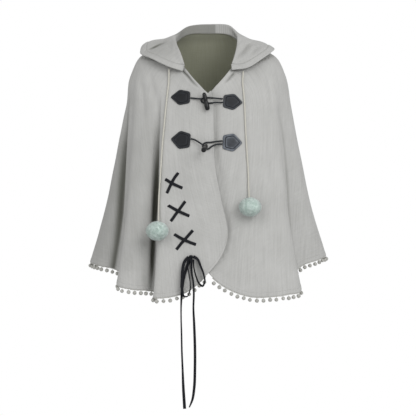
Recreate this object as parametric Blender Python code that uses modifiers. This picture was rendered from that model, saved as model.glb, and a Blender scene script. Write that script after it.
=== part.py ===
"""Hooded cape with toggles, drawcord, lacing and a ball-trimmed hem.

Metres, +Z up. The wearer faces -Y and the origin is where the neck opening rests on the shoulders.
Bearings are in degrees round the wearer: 0 is the front, -90 the wearer's right, +90 the wearer's left.
A level runs from 0 at the neckline to 1 at the hem. Tables are in millimetres.
"""

import math
from collections import namedtuple

import bmesh
import bpy
import numpy as np
from mathutils import Vector

MM = 0.001

# Cloth
CLOTH_THICKNESS = 2.0 * MM
HOOD_THICKNESS = 2.4 * MM
SEAM_GAP = 0.5 * MM
SEAM_BEARING = 97.0
HOOD_SEAM_GAP = 1.3 * MM
NECK_GAP = 3.0 * MM
OVERLAP_LIFT = 5.0 * MM
UNDERLAP_DROP = 2.0 * MM
LAPEL_LIFT = 6.0 * MM
LAPEL_LEVEL = 0.055
FOLD_GROWTH = 1.25
CORNER_LEVEL = 0.70
REST = 1.0 * MM
STRAP_REST = 1.1 * MM

# Ball trim
BALL_PITCH = 17.5 * MM
TAPE_HEIGHT = 3.0 * MM
TAPE_THICKNESS = 1.4 * MM
TAPE_GAP = 0.6 * MM
BALL_SEAT = 5.0 * MM
BALL_DIAMETER = 12.0 * MM

# Drawcord and pompoms
DRAWCORD_DIAMETER = 4.5 * MM
POMPOM_DIAMETER = 57.0 * MM
POMPOM_SQUASH = (1.12, 1.0, 0.95)
POMPOM_LOCK = 5.0 * MM

# Toggles
PATCH_THICKNESS = 2.2 * MM
PATCH_GROOVE = 0.5 * MM
PATCH_CORNER = 5.0 * MM
TOGGLE_LENGTH = 50.0 * MM
TOGGLE_DIAMETER = 13.0 * MM
TOGGLE_CORD_DIAMETER = 4.6 * MM
# Places along a toggle's half length, and the share of its radius there.
TOGGLE_PROFILE = (
    (-1.0, 0.30),
    (-0.94, 0.62),
    (-0.75, 0.84),
    (-0.25, 0.90),
    (0.0, 0.88),
    (0.3, 1.0),
    (0.8, 0.98),
    (0.95, 0.72),
    (1.0, 0.34),
)

# Lacing
LACE_WIDTH = 8.2 * MM
LACE_THICKNESS = 1.0 * MM
KNOT_SIZE = (11.0 * MM, 8.0 * MM, 9.0 * MM)

Level = namedtuple("Level", "level half_width side_z front front_z back back_z")
LEVELS = (
    Level(0.00, 95, 2, 130, -155, 74, 41),
    Level(0.10, 150, -14, 136, -180, 102, 10),
    Level(0.18, 196, -40, 140, -208, 122, -40),
    Level(0.26, 220, -88, 145, -246, 135, -95),
    Level(0.40, 237, -178, 154, -322, 150, -190),
    Level(0.60, 264, -325, 169, -450, 172, -342),
    Level(0.80, 295, -474, 185, -578, 196, -494),
    Level(1.00, 337, -622, 205, -706, 225, -645),
)

# Each row is a fold's crest, edge or valley: its bearing, where it meets the hem and where it starts.
Fold = namedtuple("Fold", "name bearing hem_x hem_y hem_z start")
FOLDS = (
    Fold("back_crest", -180, 0, 226, -645, 0.30),
    Fold("back_crest_turn", -174, -30, 218, -645, 0.30),
    Fold("back_right_valley", -163, -82, 172, -641, 0.34),
    Fold("back_right_crest_turn", -151, -138, 214, -640, 0.32),
    Fold("back_right_crest", -144, -172, 206, -639, 0.32),
    Fold("blade_right_valley", -131, -196, 142, -634, 0.34),
    Fold("blade_right_crest_turn", -119, -256, 152, -630, 0.32),
    Fold("blade_right_crest", -113, -284, 126, -628, 0.32),
    Fold("side_right_valley", -103, -280, 62, -625, 0.36),
    Fold("side_right_crest", -91, -337, 10, -622, 0.28),
    Fold("side_right_face", -84, -308, -46, -629, 0.26),
    Fold("second_right_flank", -78, -262, -68, -638, 0.22),
    Fold("second_right_valley", -73, -236, -92, -652, 0.20),
    Fold("second_right_edge", -66, -250, -150, -675, 0.20),
    Fold("second_right_face", -56, -206, -178, -688, 0.22),
    Fold("first_right_flank", -47, -167, -160, -692, 0.18),
    Fold("first_right_valley", -42, -141, -152, -697, 0.16),
    Fold("first_right_edge", -35, -150, -202, -706, 0.16),
    Fold("front_right_face", -18, -75, -208, -708, 0.24),
    Fold("front_centre", 0, 0, -206, -706, 0.24),
    Fold("front_left_face", 14, 78, -208, -708, 0.24),
    Fold("front_left_turn", 30, 158, -206, -707, 0.26),
    Fold("first_left_face", 45, 214, -192, -701, 0.26),
    Fold("first_left_edge", 57, 255, -155, -690, 0.20),
    Fold("first_left_valley", 66, 240, -98, -650, 0.18),
    Fold("first_left_flank", 72, 264, -74, -628, 0.18),
    Fold("side_left_face", 80, 310, -46, -613, 0.24),
    Fold("side_left_crest", 90, 337, 10, -603, 0.30),
    Fold("side_left_valley", 104, 276, 60, -609, 0.36),
    Fold("blade_left_crest", 114, 282, 122, -617, 0.32),
    Fold("blade_left_crest_turn", 121, 254, 150, -623, 0.32),
    Fold("blade_left_valley", 132, 190, 146, -632, 0.34),
    Fold("back_left_crest", 145, 168, 208, -640, 0.32),
    Fold("back_left_crest_turn", 152, 132, 216, -640, 0.32),
    Fold("back_left_valley", 164, 76, 176, -643, 0.34),
    Fold("back_crest_turn_again", 174, 30, 219, -645, 0.30),
    Fold("back_crest_again", 180, 0, 226, -645, 0.30),
)

# Where each front's free edge runs, measured across from the centre.
Edge = namedtuple("Edge", "level over under")
EDGES = (
    Edge(0.00, 7, -10),
    Edge(0.10, 14, -14),
    Edge(0.30, 17, -16),
    Edge(0.45, 21, -20),
    Edge(0.58, 36, -31),
    Edge(0.70, 54, -44),
    Edge(1.00, 54, -44),
)
CORNER_START = {-1: -165 * MM, 1: 150 * MM}
TRIM_END = {-1: -6 * MM, 1: 12 * MM}

# The hood, from the throat to the centre back: where it rolls over, where its edge lies and its bag's depth.
# The last two columns raise and widen the edge of the wearer's left half.
Station = namedtuple(
    "Station", "bearing roll_x roll_y roll_z rim_x rim_y rim_z bag left_up left_out"
)
STATIONS = (
    Station(-45, -66, -103, -72, -71, -110, -88, 0, 3, -4),
    Station(-58, -75, -85, -44, -111, -110, -75, 0, -3, 0),
    Station(-72, -85, -50, -14, -158, -84, -50, 0, 4, 0),
    Station(-88, -93, -8, 15, -190, -34, -30, 0, 10, -4),
    Station(-108, -85, 31, 28, -182, 46, 5, 0, -8, -2),
    Station(-140, -57, 75, 59, -150, 158, 6, 102, 3, 0),
    Station(-180, 0, 96, 69, 0, 206, -34, 170, 0, 0),
)

# Lift is measured out from the cloth's own surface to the middle of the cord.
Run = namedtuple("Run", "x z lift")
DRAWCORD_RIGHT = (
    Run(-108.5, -80.5, 9.0),
    Run(-108.5, -98, 4.5),
    Run(-109, -120, 3.2),
    Run(-113, -160, 3.2),
    Run(-117, -200, 3.2),
    Run(-121, -245, 3.2),
    Run(-125, -290, 3.2),
    Run(-128, -340, 3.2),
    Run(-131, -390, 3.2),
    Run(-134, -440, 3.2),
    Run(-134.5, -484, 6.0),
    Run(-134, -517, 12.5),
)
DRAWCORD_LEFT = (
    Run(98, -88.5, 8.0),
    Run(97, -102, 4.0),
    Run(96, -120, 3.2),
    Run(98.5, -150, 3.2),
    Run(101, -190, 3.2),
    Run(102.5, -230, 3.2),
    Run(104.5, -275, 3.2),
    Run(107, -320, 3.2),
    Run(110, -370, 3.6),
    Run(111, -420, 6.0),
    Run(112.5, -452, 11.0),
)
# A pompom lies out from its cord's end by its lean, and turns sideways with the cloth by its turn.
POMPOM_LEAN = 0.75
POMPOM_TURN = 0.3
CORD_SEAT = 0.5 * MM

# Where each patch lies, its tilt in degrees, and how tall it is as a share of its outline.
Patch = namedtuple("Patch", "name side x z tilt tall")
PATCHES = (
    Patch("patch_upper_right", -1, -75, -163.5, -2, 1.0),
    Patch("patch_lower_right", -1, -74, -282, -5, 1.16),
    Patch("patch_upper_left", 1, 67.5, -176, -4, 1.05),
    Patch("patch_lower_left", 1, 66, -289, -2, 1.16),
)
PATCH_OUTLINE = ((-29.5, 0), (-4, -22), (25.5, -16), (25.5, 16), (-4, 22))

CORD_UPPER = (Run(-48.8, -166, 6.9), Run(-38, -167.5, 9), Run(-26, -169, 12.5), Run(-13.6, -170.5, 16))
CORD_LOWER = (Run(-47.4, -279, 7.2), Run(-37, -282, 10), Run(-26, -288.5, 14), Run(-12.2, -298, 17.5))
LOOP_UPPER = (
    Run(41.5, -168.5, 3.0),
    Run(30, -168, 6.0),
    Run(18, -167.2, 8.4),
    Run(4, -166, 8.4),
    Run(-10, -166.2, 8.4),
    Run(-17, -169, 8.4),
    Run(-19, -173.4, 8.4),
    Run(-17, -177.6, 8.4),
    Run(-10, -180.6, 8.4),
    Run(4, -181, 8.4),
    Run(18, -179.6, 8.4),
    Run(30, -178.8, 6.0),
    Run(41.5, -178.5, 3.0),
)
LOOP_LOWER = (
    Run(40, -285, 3.0),
    Run(30, -286, 6.0),
    Run(18, -287.6, 8.4),
    Run(6, -289.4, 8.4),
    Run(-4.7, -289.9, 8.4),
    Run(-11, -292.6, 8.4),
    Run(-14, -298.6, 8.4),
    Run(-11.5, -305, 8.4),
    Run(-4.7, -308.2, 8.4),
    Run(3, -306.4, 8.4),
    Run(9, -301, 8.4),
    Run(18, -296.6, 8.4),
    Run(30, -294.3, 6.0),
    Run(40, -293.6, 3.0),
)
Toggle = namedtuple("Toggle", "name x z lift along")
TOGGLES = (
    Toggle("toggle_upper", -6, -177, 17.9, (0.225, 0.0, -0.974)),
    Toggle("toggle_lower", -8.7, -306, 33.0, (-0.16, -0.93, -0.33)),
)

Strap = namedtuple("Strap", "name lift points")
STRAPS = (
    Strap("lace_1_under", 0, ((-80, -371), (-92, -387), (-102, -406), (-113, -430))),
    Strap("lace_1_over", 1.6, ((-118, -389), (-100, -400), (-84, -408), (-68, -415))),
    Strap("lace_2_under", 0, ((-61, -449), (-74, -467), (-88, -486), (-102, -506))),
    Strap("lace_2_over", 1.6, ((-109, -461), (-90, -472), (-70, -482), (-49, -491))),
    Strap("lace_3_under", 0.5, ((-40, -528), (-55, -545), (-71, -563), (-87, -583))),
    Strap("lace_3_over", 2.1, ((-93, -539), (-74, -550), (-53, -560), (-31, -568))),
)
Bow = namedtuple("Bow", "x z lift turn")
KNOT = Bow(-46, -600, 4.7, 0)
LOOP_RIGHT_SIDE = (
    Bow(-52.6, -600.5, 5.0, 10),
    Bow(-62, -611, 7.2, 8),
    Bow(-68, -632, 9.8, 14),
    Bow(-70, -662, 12, 20),
    Bow(-69, -690, 16, 25),
    Bow(-64, -705, 18.5, 40),
    Bow(-57, -706, 19, 50),
    Bow(-49, -692, 18, 55),
    Bow(-47.5, -672, 15.5, 55),
    Bow(-51, -648, 12.5, 45),
    Bow(-55, -625, 10.5, 30),
    Bow(-55, -609, 9.5, 0),
)
LOOP_LEFT_SIDE = (
    Bow(-39.9, -599.5, 5.0, 0),
    Bow(-30, -605, 6.5, 30),
    Bow(-20, -625, 9, 48),
    Bow(-11, -650, 12, 55),
    Bow(-9, -668, 14.5, 55),
    Bow(-15, -678, 16, 45),
    Bow(-23, -672, 15.5, 50),
    Bow(-32, -652, 13, 40),
    Bow(-38, -628, 10.5, 0),
    Bow(-39, -608, 9.5, 0),
)
TAIL_RIGHT = (
    Bow(-48, -605.0, 4.5, 0),
    Bow(-56, -625, 5.0, 8),
    Bow(-64, -650, 5.8, 12),
    Bow(-69, -680, 8.5, 15),
    Bow(-71, -705, 13, 25),
    Bow(-72, -730, 17, 40),
    Bow(-72, -765, 20, 52),
    Bow(-71, -800, 21, 58),
    Bow(-70, -850, 21, 62),
    Bow(-68, -900, 21, 55),
    Bow(-66, -950, 21, 35),
    Bow(-62.5, -1006, 21, 15),
)
TAIL_LEFT = (
    Bow(-44.8, -604.7, 6.2, 0),
    Bow(-44, -640, 8.5, 10),
    Bow(-39, -672, 12, 25),
    Bow(-38, -700, 16, 35),
    Bow(-39, -735, 20, 40),
    Bow(-37, -780, 21, 45),
    Bow(-35, -840, 21, 50),
    Bow(-35, -900, 21, 55),
    Bow(-37, -950, 21, 45),
    Bow(-42, -982, 21, 30),
    Bow(-50, -1002, 21, 20),
)
LOWEST_REST = -690 * MM


def column(table, name):
    """One named column of a table, as numbers."""
    return np.array([getattr(row, name) for row in table], float)


def smooth(at, knots, values):
    """A smooth curve through the values at the knots, read at each place asked for."""
    at = np.asarray(at, float)
    knots = np.asarray(knots, float)
    values = np.asarray(values, float)
    slopes = np.gradient(values, knots, axis=0)
    low = np.clip(np.searchsorted(knots, at, side="right") - 1, 0, len(knots) - 2)
    span = knots[low + 1] - knots[low]
    t = np.clip((at - knots[low]) / span, 0.0, 1.0)
    extra = (1,) * (values.ndim - 1)
    t = t.reshape(t.shape + extra)
    span = span.reshape(span.shape + extra)
    rise = 3 * t**2 - 2 * t**3
    start = (t - 2 * t**2 + t**3) * span * slopes[low]
    end = (t**3 - t**2) * span * slopes[low + 1]
    return values[low] * (1 - rise) + values[low + 1] * rise + start + end


def step(x, low, high):
    """0 before low, 1 after high, and smooth between."""
    t = np.clip((x - low) / (high - low), 0.0, 1.0)
    return t * t * (3 - 2 * t)


def unit(vectors):
    return vectors / np.linalg.norm(vectors, axis=-1, keepdims=True)


ROWS = np.array([0, 0.03, 0.065, 0.11, 0.17, 0.25, 0.36, 0.49, 0.62, 0.75, 0.88, 1.0])
LEVEL_KNOTS = column(LEVELS, "level")
FOLD_KNOTS = column(FOLDS, "bearing")


def bell(bearing, level):
    """The cape without folds: an oval ring at each level, lower in front than at the sides.

    The neckline comes to a point in front and runs nearly level across the back.
    """
    size = {name: smooth(level, LEVEL_KNOTS, column(LEVELS, name)) * MM for name in Level._fields[1:]}
    across = np.sin(np.radians(bearing))
    ahead = np.cos(np.radians(bearing))
    front = ahead > 0
    x = size["half_width"] * across
    y = -ahead * np.where(front, size["front"], size["back"])
    neck = np.where(front, (1 - np.abs(across)) ** 0.565, 1 - across**4)
    share = neck + (ahead**2 - neck) * np.clip(level / 0.15, 0, 1)
    end_z = np.where(front, size["front_z"], size["back_z"])
    z = size["side_z"] + (end_z - size["side_z"]) * share
    return np.stack([x, y, z], axis=-1)


def fold_shifts():
    """How far each fold's line is moved from the plain bell at the hem, with the ends wrapped round."""
    hem = np.stack([column(FOLDS, name) for name in ("hem_x", "hem_y", "hem_z")], axis=-1) * MM
    shift = hem - bell(FOLD_KNOTS, np.ones(len(FOLDS)))
    begin = column(FOLDS, "start")[:, None]
    rows = np.hstack([shift, begin])
    knots = np.concatenate([FOLD_KNOTS[-4:-1] - 360, FOLD_KNOTS, FOLD_KNOTS[1:4] + 360])
    return knots, np.concatenate([rows[-4:-1], rows, rows[1:4]])


SHIFT_KNOTS, SHIFT_ROWS = fold_shifts()


def cape(bearing, level):
    """A point on the folded cape."""
    bearing, level = np.broadcast_arrays(np.asarray(bearing, float), np.asarray(level, float))
    rows = smooth(bearing, SHIFT_KNOTS, SHIFT_ROWS)
    begin = rows[..., 3]
    growth = np.clip((level - begin) / (1 - begin), 0, 1) ** FOLD_GROWTH
    return bell(bearing, level) + rows[..., :3] * growth[..., None]


def cape_normal(bearing, level):
    """The outward direction of the folded cape."""
    level = np.clip(level, 0.004, 0.996)
    across = cape(bearing - 0.3, level) - cape(bearing + 0.3, level)
    down = cape(bearing, level + 0.004) - cape(bearing, level - 0.004)
    return unit(np.cross(across, down))


def front_surface(side, bearing, level, lift=0.0):
    """A point on the over (side -1) or under (side 1) front, moved out by a lift. Side 0 is the cape."""
    bearing, level = np.broadcast_arrays(np.asarray(bearing, float), np.asarray(level, float))
    points = cape(bearing, level)
    x = points[..., 0]
    if side < 0:
        lift = lift + OVERLAP_LIFT * step(x, -0.09, -0.03)
    elif side > 0:
        lift = lift - UNDERLAP_DROP * (1 - step(x, 0.06, 0.10))
    wide = np.abs(bearing)
    turned = np.exp(-((level / LAPEL_LEVEL) ** 2)) * step(wide, 4, 14) * (1 - step(wide, 34, 46))
    lift = lift + abs(side) * LAPEL_LIFT * turned
    return points + cape_normal(bearing, level) * np.asarray(lift)[..., None]


def on_cloth(side, x, z, lift):
    """The points of a front that show at x and z, moved out by a lift, with their outward directions."""
    x = np.asarray(x, float)
    z = np.asarray(z, float)
    bearing = np.degrees(np.arcsin(np.clip(x / 0.25, -0.9, 0.9)))
    level = np.clip((-z - 0.15) / 0.56, 0.02, 0.98)
    for _ in range(30):
        here = front_surface(side, bearing, level, lift)
        turn = (front_surface(side, bearing + 0.2, level, lift) - here) / 0.2
        drop = (front_surface(side, bearing, level + 0.002, lift) - here) / 0.002
        miss_x = x - here[..., 0]
        miss_z = z - here[..., 2]
        det = turn[..., 0] * drop[..., 2] - turn[..., 2] * drop[..., 0]
        turn_by = (miss_x * drop[..., 2] - miss_z * drop[..., 0]) / det
        drop_by = (turn[..., 0] * miss_z - turn[..., 2] * miss_x) / det
        bearing = bearing + np.clip(turn_by, -6, 6)
        level = np.clip(level + np.clip(drop_by, -0.1, 0.1), 0, 1)
    return front_surface(side, bearing, level, lift), cape_normal(bearing, level)


def edge_bearing(side, level):
    """The bearing of a front's free edge."""
    name = "over" if side < 0 else "under"
    across = smooth(level, column(EDGES, "level"), column(EDGES, name)) * MM
    width = smooth(level, LEVEL_KNOTS, column(LEVELS, "half_width")) * MM
    return np.degrees(np.arcsin(across / width))


def front_bearing(side, share, level):
    """The bearing at a share of the way from a front's free edge to its side seam."""
    edge = edge_bearing(side, level)
    return edge + (side * SEAM_BEARING - edge) * share


def hem_level(side, share):
    """The level of a front's lower edge, which rises round the corner in a quarter oval."""
    ones = np.ones_like(share)
    width = LEVELS[-1].half_width * MM
    x = width * np.sin(np.radians(front_bearing(side, share, ones)))
    edge = width * math.sin(math.radians(edge_bearing(side, 1.0)))
    t = np.clip((x - CORNER_START[side]) / (edge - CORNER_START[side]), 0, 1)
    return CORNER_LEVEL + (1 - CORNER_LEVEL) * np.sqrt(1 - t**2)


def corner_share(side):
    """The share of a front at which its rounded corner begins."""
    edge = float(edge_bearing(side, 1.0))
    start = math.degrees(math.asin(CORNER_START[side] / (LEVELS[-1].half_width * MM)))
    return (start - edge) / (side * SEAM_BEARING - edge)


def seam_line(bearing, toward):
    """A side seam's points, moved half the gap along the cloth to a greater (1) or lesser (-1) bearing."""
    here = cape(bearing, ROWS)
    along = unit(cape(bearing + 0.2, ROWS) - cape(bearing - 0.2, ROWS))
    return here + along * toward * SEAM_GAP / 2


def front_points(side, corner_columns=7, plain_columns=24):
    """A front's grid of points, rows from the neckline to the hem, columns toward the wearer's right."""
    bend = corner_share(side)
    corner = bend * (1 - np.cos(np.linspace(0, math.pi / 2, corner_columns + 1)))
    share = np.concatenate([corner, np.linspace(bend, 1, plain_columns + 1)[1:]])
    level = ROWS[:, None] * hem_level(side, share)[None, :]
    bearing = front_bearing(side, share[None, :], level)
    points = front_surface(side, bearing, level)
    points[:, -1] = seam_line(side * SEAM_BEARING, -side)
    return points if side < 0 else points[:, ::-1]


def back_points(columns=44):
    """The back's grid of points, columns from the wearer's right seam round to the left."""
    bearing = np.linspace(-SEAM_BEARING, SEAM_BEARING - 360, columns + 1)
    points = cape(np.where(bearing < -180, bearing + 360, bearing)[None, :], ROWS[:, None])
    points[:, 0] = seam_line(-SEAM_BEARING, -1)
    points[:, -1] = seam_line(SEAM_BEARING, 1)
    return points


def hood_controls(side):
    """For each station of one half: seam, roll, two points down the bag, its outer side and the rim."""
    seam = cape(column(STATIONS, "bearing"), np.zeros(len(STATIONS)))
    seam[:, 2] += NECK_GAP
    roll = np.stack([column(STATIONS, n) for n in ("roll_x", "roll_y", "roll_z")], axis=-1) * MM
    rim = np.stack([column(STATIONS, n) for n in ("rim_x", "rim_y", "rim_z")], axis=-1) * MM
    bag = column(STATIONS, "bag")[:, None] * MM
    if side > 0:
        rim[:, 2] += column(STATIONS, "left_up") * MM
        rim[:, 0] -= column(STATIONS, "left_out") * MM
    down = np.array([0, 0, -1.0])
    out = unit((rim - roll) * np.array([1, 1, 0]) + np.array([0, 1e-6, 0]))
    fall = rim - roll
    inner = roll + 0.40 * fall + down * 0.42 * bag
    bottom = roll + 0.74 * fall + down * bag
    outer = roll + 0.94 * fall + down * 0.52 * bag + out * 0.12 * bag
    controls = np.stack([seam, roll, inner, bottom, outer, rim], axis=1)
    if side > 0:
        controls[..., 0] *= -1
    controls[-1, :, 0] = side * HOOD_SEAM_GAP / 2
    return controls


def hood_points(side, columns=18, rows=13):
    """One half of the hood: sections from the throat to the centre back."""
    controls = hood_controls(side)
    beyond = controls[-2:-1] * np.array([-1.0, 1.0, 1.0])
    knots = np.arange(len(STATIONS) + 1)
    sections = smooth(np.linspace(0, len(STATIONS) - 1, columns), knots, np.concatenate([controls, beyond]))
    knots = np.array([0, 0.10, 0.38, 0.68, 0.88, 1.0])
    along = np.concatenate([[0, 0.05, 0.10, 0.16], np.linspace(0.24, 1, rows - 4)])
    points = smooth(along, knots, np.swapaxes(sections, 0, 1))
    points[:, -1, 0] = side * HOOD_SEAM_GAP / 2
    return points


def material(name, colour, roughness):
    made = bpy.data.materials.new(name)
    made.use_nodes = True
    shader = made.node_tree.nodes["Principled BSDF"]
    shader.inputs["Base Color"].default_value = (*colour, 1.0)
    shader.inputs["Roughness"].default_value = roughness
    return made


def add(name, mesh, finish, collection):
    made = bpy.data.objects.new(name, mesh)
    made.data.materials.append(finish)
    collection.objects.link(made)
    return made


def as_mesh(name, bm):
    bmesh.ops.recalc_face_normals(bm, faces=bm.faces)
    mesh = bpy.data.meshes.new(name)
    bm.to_mesh(mesh)
    bm.free()
    return mesh


def grid_mesh(name, points):
    """A grid whose vertices are moved to the points given, row by row."""
    rows, columns = points.shape[:2]
    bm = bmesh.new()
    bmesh.ops.create_grid(bm, x_segments=columns - 1, y_segments=rows - 1, size=1.0)
    for vertex in bm.verts:
        across = round((vertex.co.x + 1) / 2 * (columns - 1))
        down = round((vertex.co.y + 1) / 2 * (rows - 1))
        vertex.co = points[down, across]
    mesh = bpy.data.meshes.new(name)
    bm.to_mesh(mesh)
    bm.free()
    return mesh


def cloth(name, points, thickness, offset, finish, collection):
    """A shell of cloth: the grid of points is its outer face (offset -1) or its middle (offset 0)."""
    made = add(name, grid_mesh(name, points), finish, collection)
    shell = made.modifiers.new("thickness", "SOLIDIFY")
    shell.thickness = thickness
    shell.offset = offset
    return made


def hem_line(panel):
    """A panel's lower edge, read closely: points, outward directions, and the ways along it and down."""
    if panel == 0:
        bearing = np.linspace(-SEAM_BEARING - 0.2, SEAM_BEARING - 359.8, 900)
        bearing = np.where(bearing < -180, bearing + 360, bearing)
        level = np.ones_like(bearing)
        points = cape(bearing, level)
    else:
        share = np.linspace(0, 0.999, 900)
        level = hem_level(panel, share)
        bearing = front_bearing(panel, share, level)
        points = front_surface(panel, bearing, level)
        keep = points[:, 0] * panel > TRIM_END[panel] * panel
        points, bearing, level = points[keep], bearing[keep], level[keep]
    normal = cape_normal(bearing, level)
    along = unit(np.gradient(points, axis=0))
    down = unit(np.cross(normal, along))
    down = np.where(down[:, 2:] > 0, -down, down)
    return points, normal, along, down


def ball_trim(name, panel, finish, collection):
    """A narrow tape below a panel's hem with balls drawn out of its lower face, one for each pitch."""
    points, normal, along, down = hem_line(panel)
    length = np.concatenate([[0], np.cumsum(np.linalg.norm(np.diff(points, axis=0), axis=1))])
    count = int(length[-1] // BALL_PITCH)
    centres = (np.arange(count) + 0.5) * (length[-1] / count)
    stops = [length[1]]
    for centre in centres:
        stops += [centre - BALL_SEAT / 2, centre + BALL_SEAT / 2]
    stops.append(length[-2])

    def read(values, at):
        return np.stack([np.interp(at, length, values[:, k]) for k in range(3)], axis=-1)

    at = np.array(stops)
    base, out, drop = read(points, at), unit(read(normal, at)), unit(read(down, at))
    middle = -CLOTH_THICKNESS / 2
    bm = bmesh.new()
    number = bm.faces.layers.int.new("ball")
    rings = []
    for k in range(len(at)):
        corners = []
        for depth, reach in ((1, 0), (1, 1), (-1, 1), (-1, 0)):
            place = base[k] + out[k] * (middle + depth * TAPE_THICKNESS / 2)
            corners.append(bm.verts.new(place + drop[k] * (TAPE_GAP + reach * TAPE_HEIGHT)))
        rings.append(corners)
    for k, (first, second) in enumerate(zip(rings, rings[1:])):
        for side in range(4):
            after = (side + 1) % 4
            face = bm.faces.new((first[side], first[after], second[after], second[side]))
            face[number] = (k + 1) // 2 if side == 1 and k % 2 == 1 else 0
    bm.faces.new(rings[0])
    bm.faces.new(rings[-1][::-1])
    bmesh.ops.recalc_face_normals(bm, faces=bm.faces)
    seats = [face for face in bm.faces if face[number]]
    middles = read(points, centres) + unit(read(normal, centres)) * middle
    middles += unit(read(down, centres)) * (TAPE_GAP + TAPE_HEIGHT)
    tangents, outs = unit(read(along, centres)), unit(read(normal, centres))
    radius = BALL_DIAMETER / 2
    for share, fall in ((0.25, 1.6), (1.14, 6.0), (0.70, 13.2)):
        seats = bmesh.ops.extrude_discrete_faces(bm, faces=seats)["faces"]
        for face in seats:
            ball = face[number] - 1
            centre = face.calc_center_median()
            for vertex in face.verts:
                offset = np.array(vertex.co - centre)
                spread = np.sign(offset @ tangents[ball]) * tangents[ball]
                spread = spread + np.sign(offset @ outs[ball]) * outs[ball]
                place = middles[ball] + spread * radius * share * 0.7071
                vertex.co = place - np.array([0, 0, fall * MM])
    return add(name, as_mesh(name, bm), finish, collection)


def tube(name, points, diameter, finish, collection):
    """A round cord on a smooth curve through its points, read every two or three diameters."""
    points = np.asarray(points, float)
    length = np.concatenate([[0], np.cumsum(np.linalg.norm(np.diff(points, axis=0), axis=1))])
    fine = smooth(np.linspace(0, length[-1], max(6, int(length[-1] / diameter / 2.9))), length, points)
    curve = bpy.data.curves.new(name, "CURVE")
    curve.dimensions = "3D"
    curve.bevel_depth = diameter / 2
    curve.bevel_resolution = 2
    curve.use_fill_caps = True
    spline = curve.splines.new("POLY")
    spline.points.add(len(fine) - 1)
    for point, place in zip(spline.points, fine):
        point.co = (*place, 1.0)
    return add(name, curve, finish, collection)


def runs(side, table):
    """A cord's run over a front, with its own lift at each place."""
    lifts = column(table, "lift") * MM
    return on_cloth(side, column(table, "x") * MM, column(table, "z") * MM, lifts)


def drape(bm, side, x, z, tilt):
    """Lays a flat mesh on a front: its own x and y run across and up the cloth, its z is the lift."""
    flat = np.array([vertex.co for vertex in bm.verts])
    turn = math.radians(tilt)
    across = flat[:, 0] * math.cos(turn) - flat[:, 1] * math.sin(turn)
    up = flat[:, 0] * math.sin(turn) + flat[:, 1] * math.cos(turn)
    points, _ = on_cloth(side, x + across, z + up, flat[:, 2])
    for vertex, place in zip(bm.verts, points):
        vertex.co = place


def patch_outline(side, tall):
    """The rounded five-sided outline, three places to a corner, with its point away from the front edge."""
    corners = np.array(PATCH_OUTLINE, float) * MM
    corners *= (-side, tall)
    places = []
    for k, corner in enumerate(corners):
        before = unit(corners[k - 1] - corner) * PATCH_CORNER
        after = unit(corners[(k + 1) % len(corners)] - corner) * PATCH_CORNER
        places += [corner + before, corner + (before + after) * 0.28, corner + after]
    return np.array(places)


def patch(row, finish, collection):
    """A leather patch: its outline drawn in toward the middle, with a groove inside its border."""
    outline = patch_outline(row.side, row.tall)
    top = REST + PATCH_THICKNESS
    groove = top - PATCH_GROOVE
    shares = ((0.55, REST), (1.0, REST), (1.0, top), (0.78, top), (0.745, groove), (0.71, top))
    bm = bmesh.new()
    rings = [[bm.verts.new((*(place * share), height)) for place in outline] for share, height in shares]
    for first, second in zip(rings, rings[1:]):
        for k in range(len(outline)):
            after = (k + 1) % len(outline)
            bm.faces.new((first[k], first[after], second[after], second[k]))
    caps = [bm.faces.new(rings[0]), bm.faces.new(rings[-1])]
    bmesh.ops.poke(bm, faces=caps)
    drape(bm, row.side, row.x * MM, row.z * MM, row.tilt)
    return add(row.name, as_mesh(row.name, bm), finish, collection)


def toggle(row, finish, collection):
    """A turned toggle: a profile spun round its own axis, narrower at one end and waisted for its cord."""
    half = TOGGLE_LENGTH / 2
    radius = TOGGLE_DIAMETER / 2
    bm = bmesh.new()
    bmesh.ops.create_cone(
        bm, cap_ends=True, cap_tris=False, segments=10, radius1=radius, radius2=radius, depth=2 * half
    )
    edges = [edge for edge in bm.edges if abs(edge.verts[0].co.z - edge.verts[1].co.z) > half]
    bmesh.ops.subdivide_edges(bm, edges=edges, cuts=len(TOGGLE_PROFILE) - 2, use_grid_fill=True)
    places, shares = zip(*TOGGLE_PROFILE)
    points, _ = on_cloth(0, np.array([row.x * MM]), np.array([row.z * MM]), np.array([row.lift * MM]))
    axis = unit(np.array(row.along))
    first = unit(np.cross(axis, np.array([1.0, 0.0, 0.0])))
    second = np.cross(axis, first)
    for vertex in bm.verts:
        order = round((vertex.co.z + half) / (2 * half) * (len(TOGGLE_PROFILE) - 1))
        turn = math.atan2(vertex.co.y, vertex.co.x)
        reach = radius * shares[order]
        around = first * math.cos(turn) + second * math.sin(turn)
        vertex.co = points[0] + axis * places[order] * half + around * reach
    return add(row.name, as_mesh(row.name, bm), finish, collection)


def tape_mesh(name, centres, sides, rows=2):
    """A flat tape's grid: its centre line with its half width to each side."""
    share = np.linspace(-0.5, 0.5, rows)[:, None, None]
    return grid_mesh(name, centres[None] + sides[None] * share * LACE_WIDTH)


def strap(row, finish, collection):
    """A flat strap of lace lying on the over front, on a smooth line through its places."""
    places = np.array(row.points, float) * MM
    knots = np.linspace(0, 1, len(places))
    fine = smooth(np.linspace(0, 1, 8), knots, places)
    ahead = unit(np.gradient(fine, axis=0))
    wide = np.stack([-ahead[:, 1], ahead[:, 0]], axis=-1) * LACE_WIDTH / 2
    bump = np.full(len(fine), row.lift * MM) + STRAP_REST
    rails = []
    for share in (-1, 0, 1):
        spots = fine + wide * share
        points, _ = on_cloth(-1, spots[:, 0], spots[:, 1], bump)
        rails.append(points)
    made = add(row.name, grid_mesh(row.name, np.array(rails)), finish, collection)
    shell = made.modifiers.new("thickness", "SOLIDIFY")
    shell.thickness = LACE_THICKNESS
    shell.offset = 1.0
    if np.mean([face.normal.y for face in made.data.polygons]) > 0:
        made.data.flip_normals()
    return made


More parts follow.
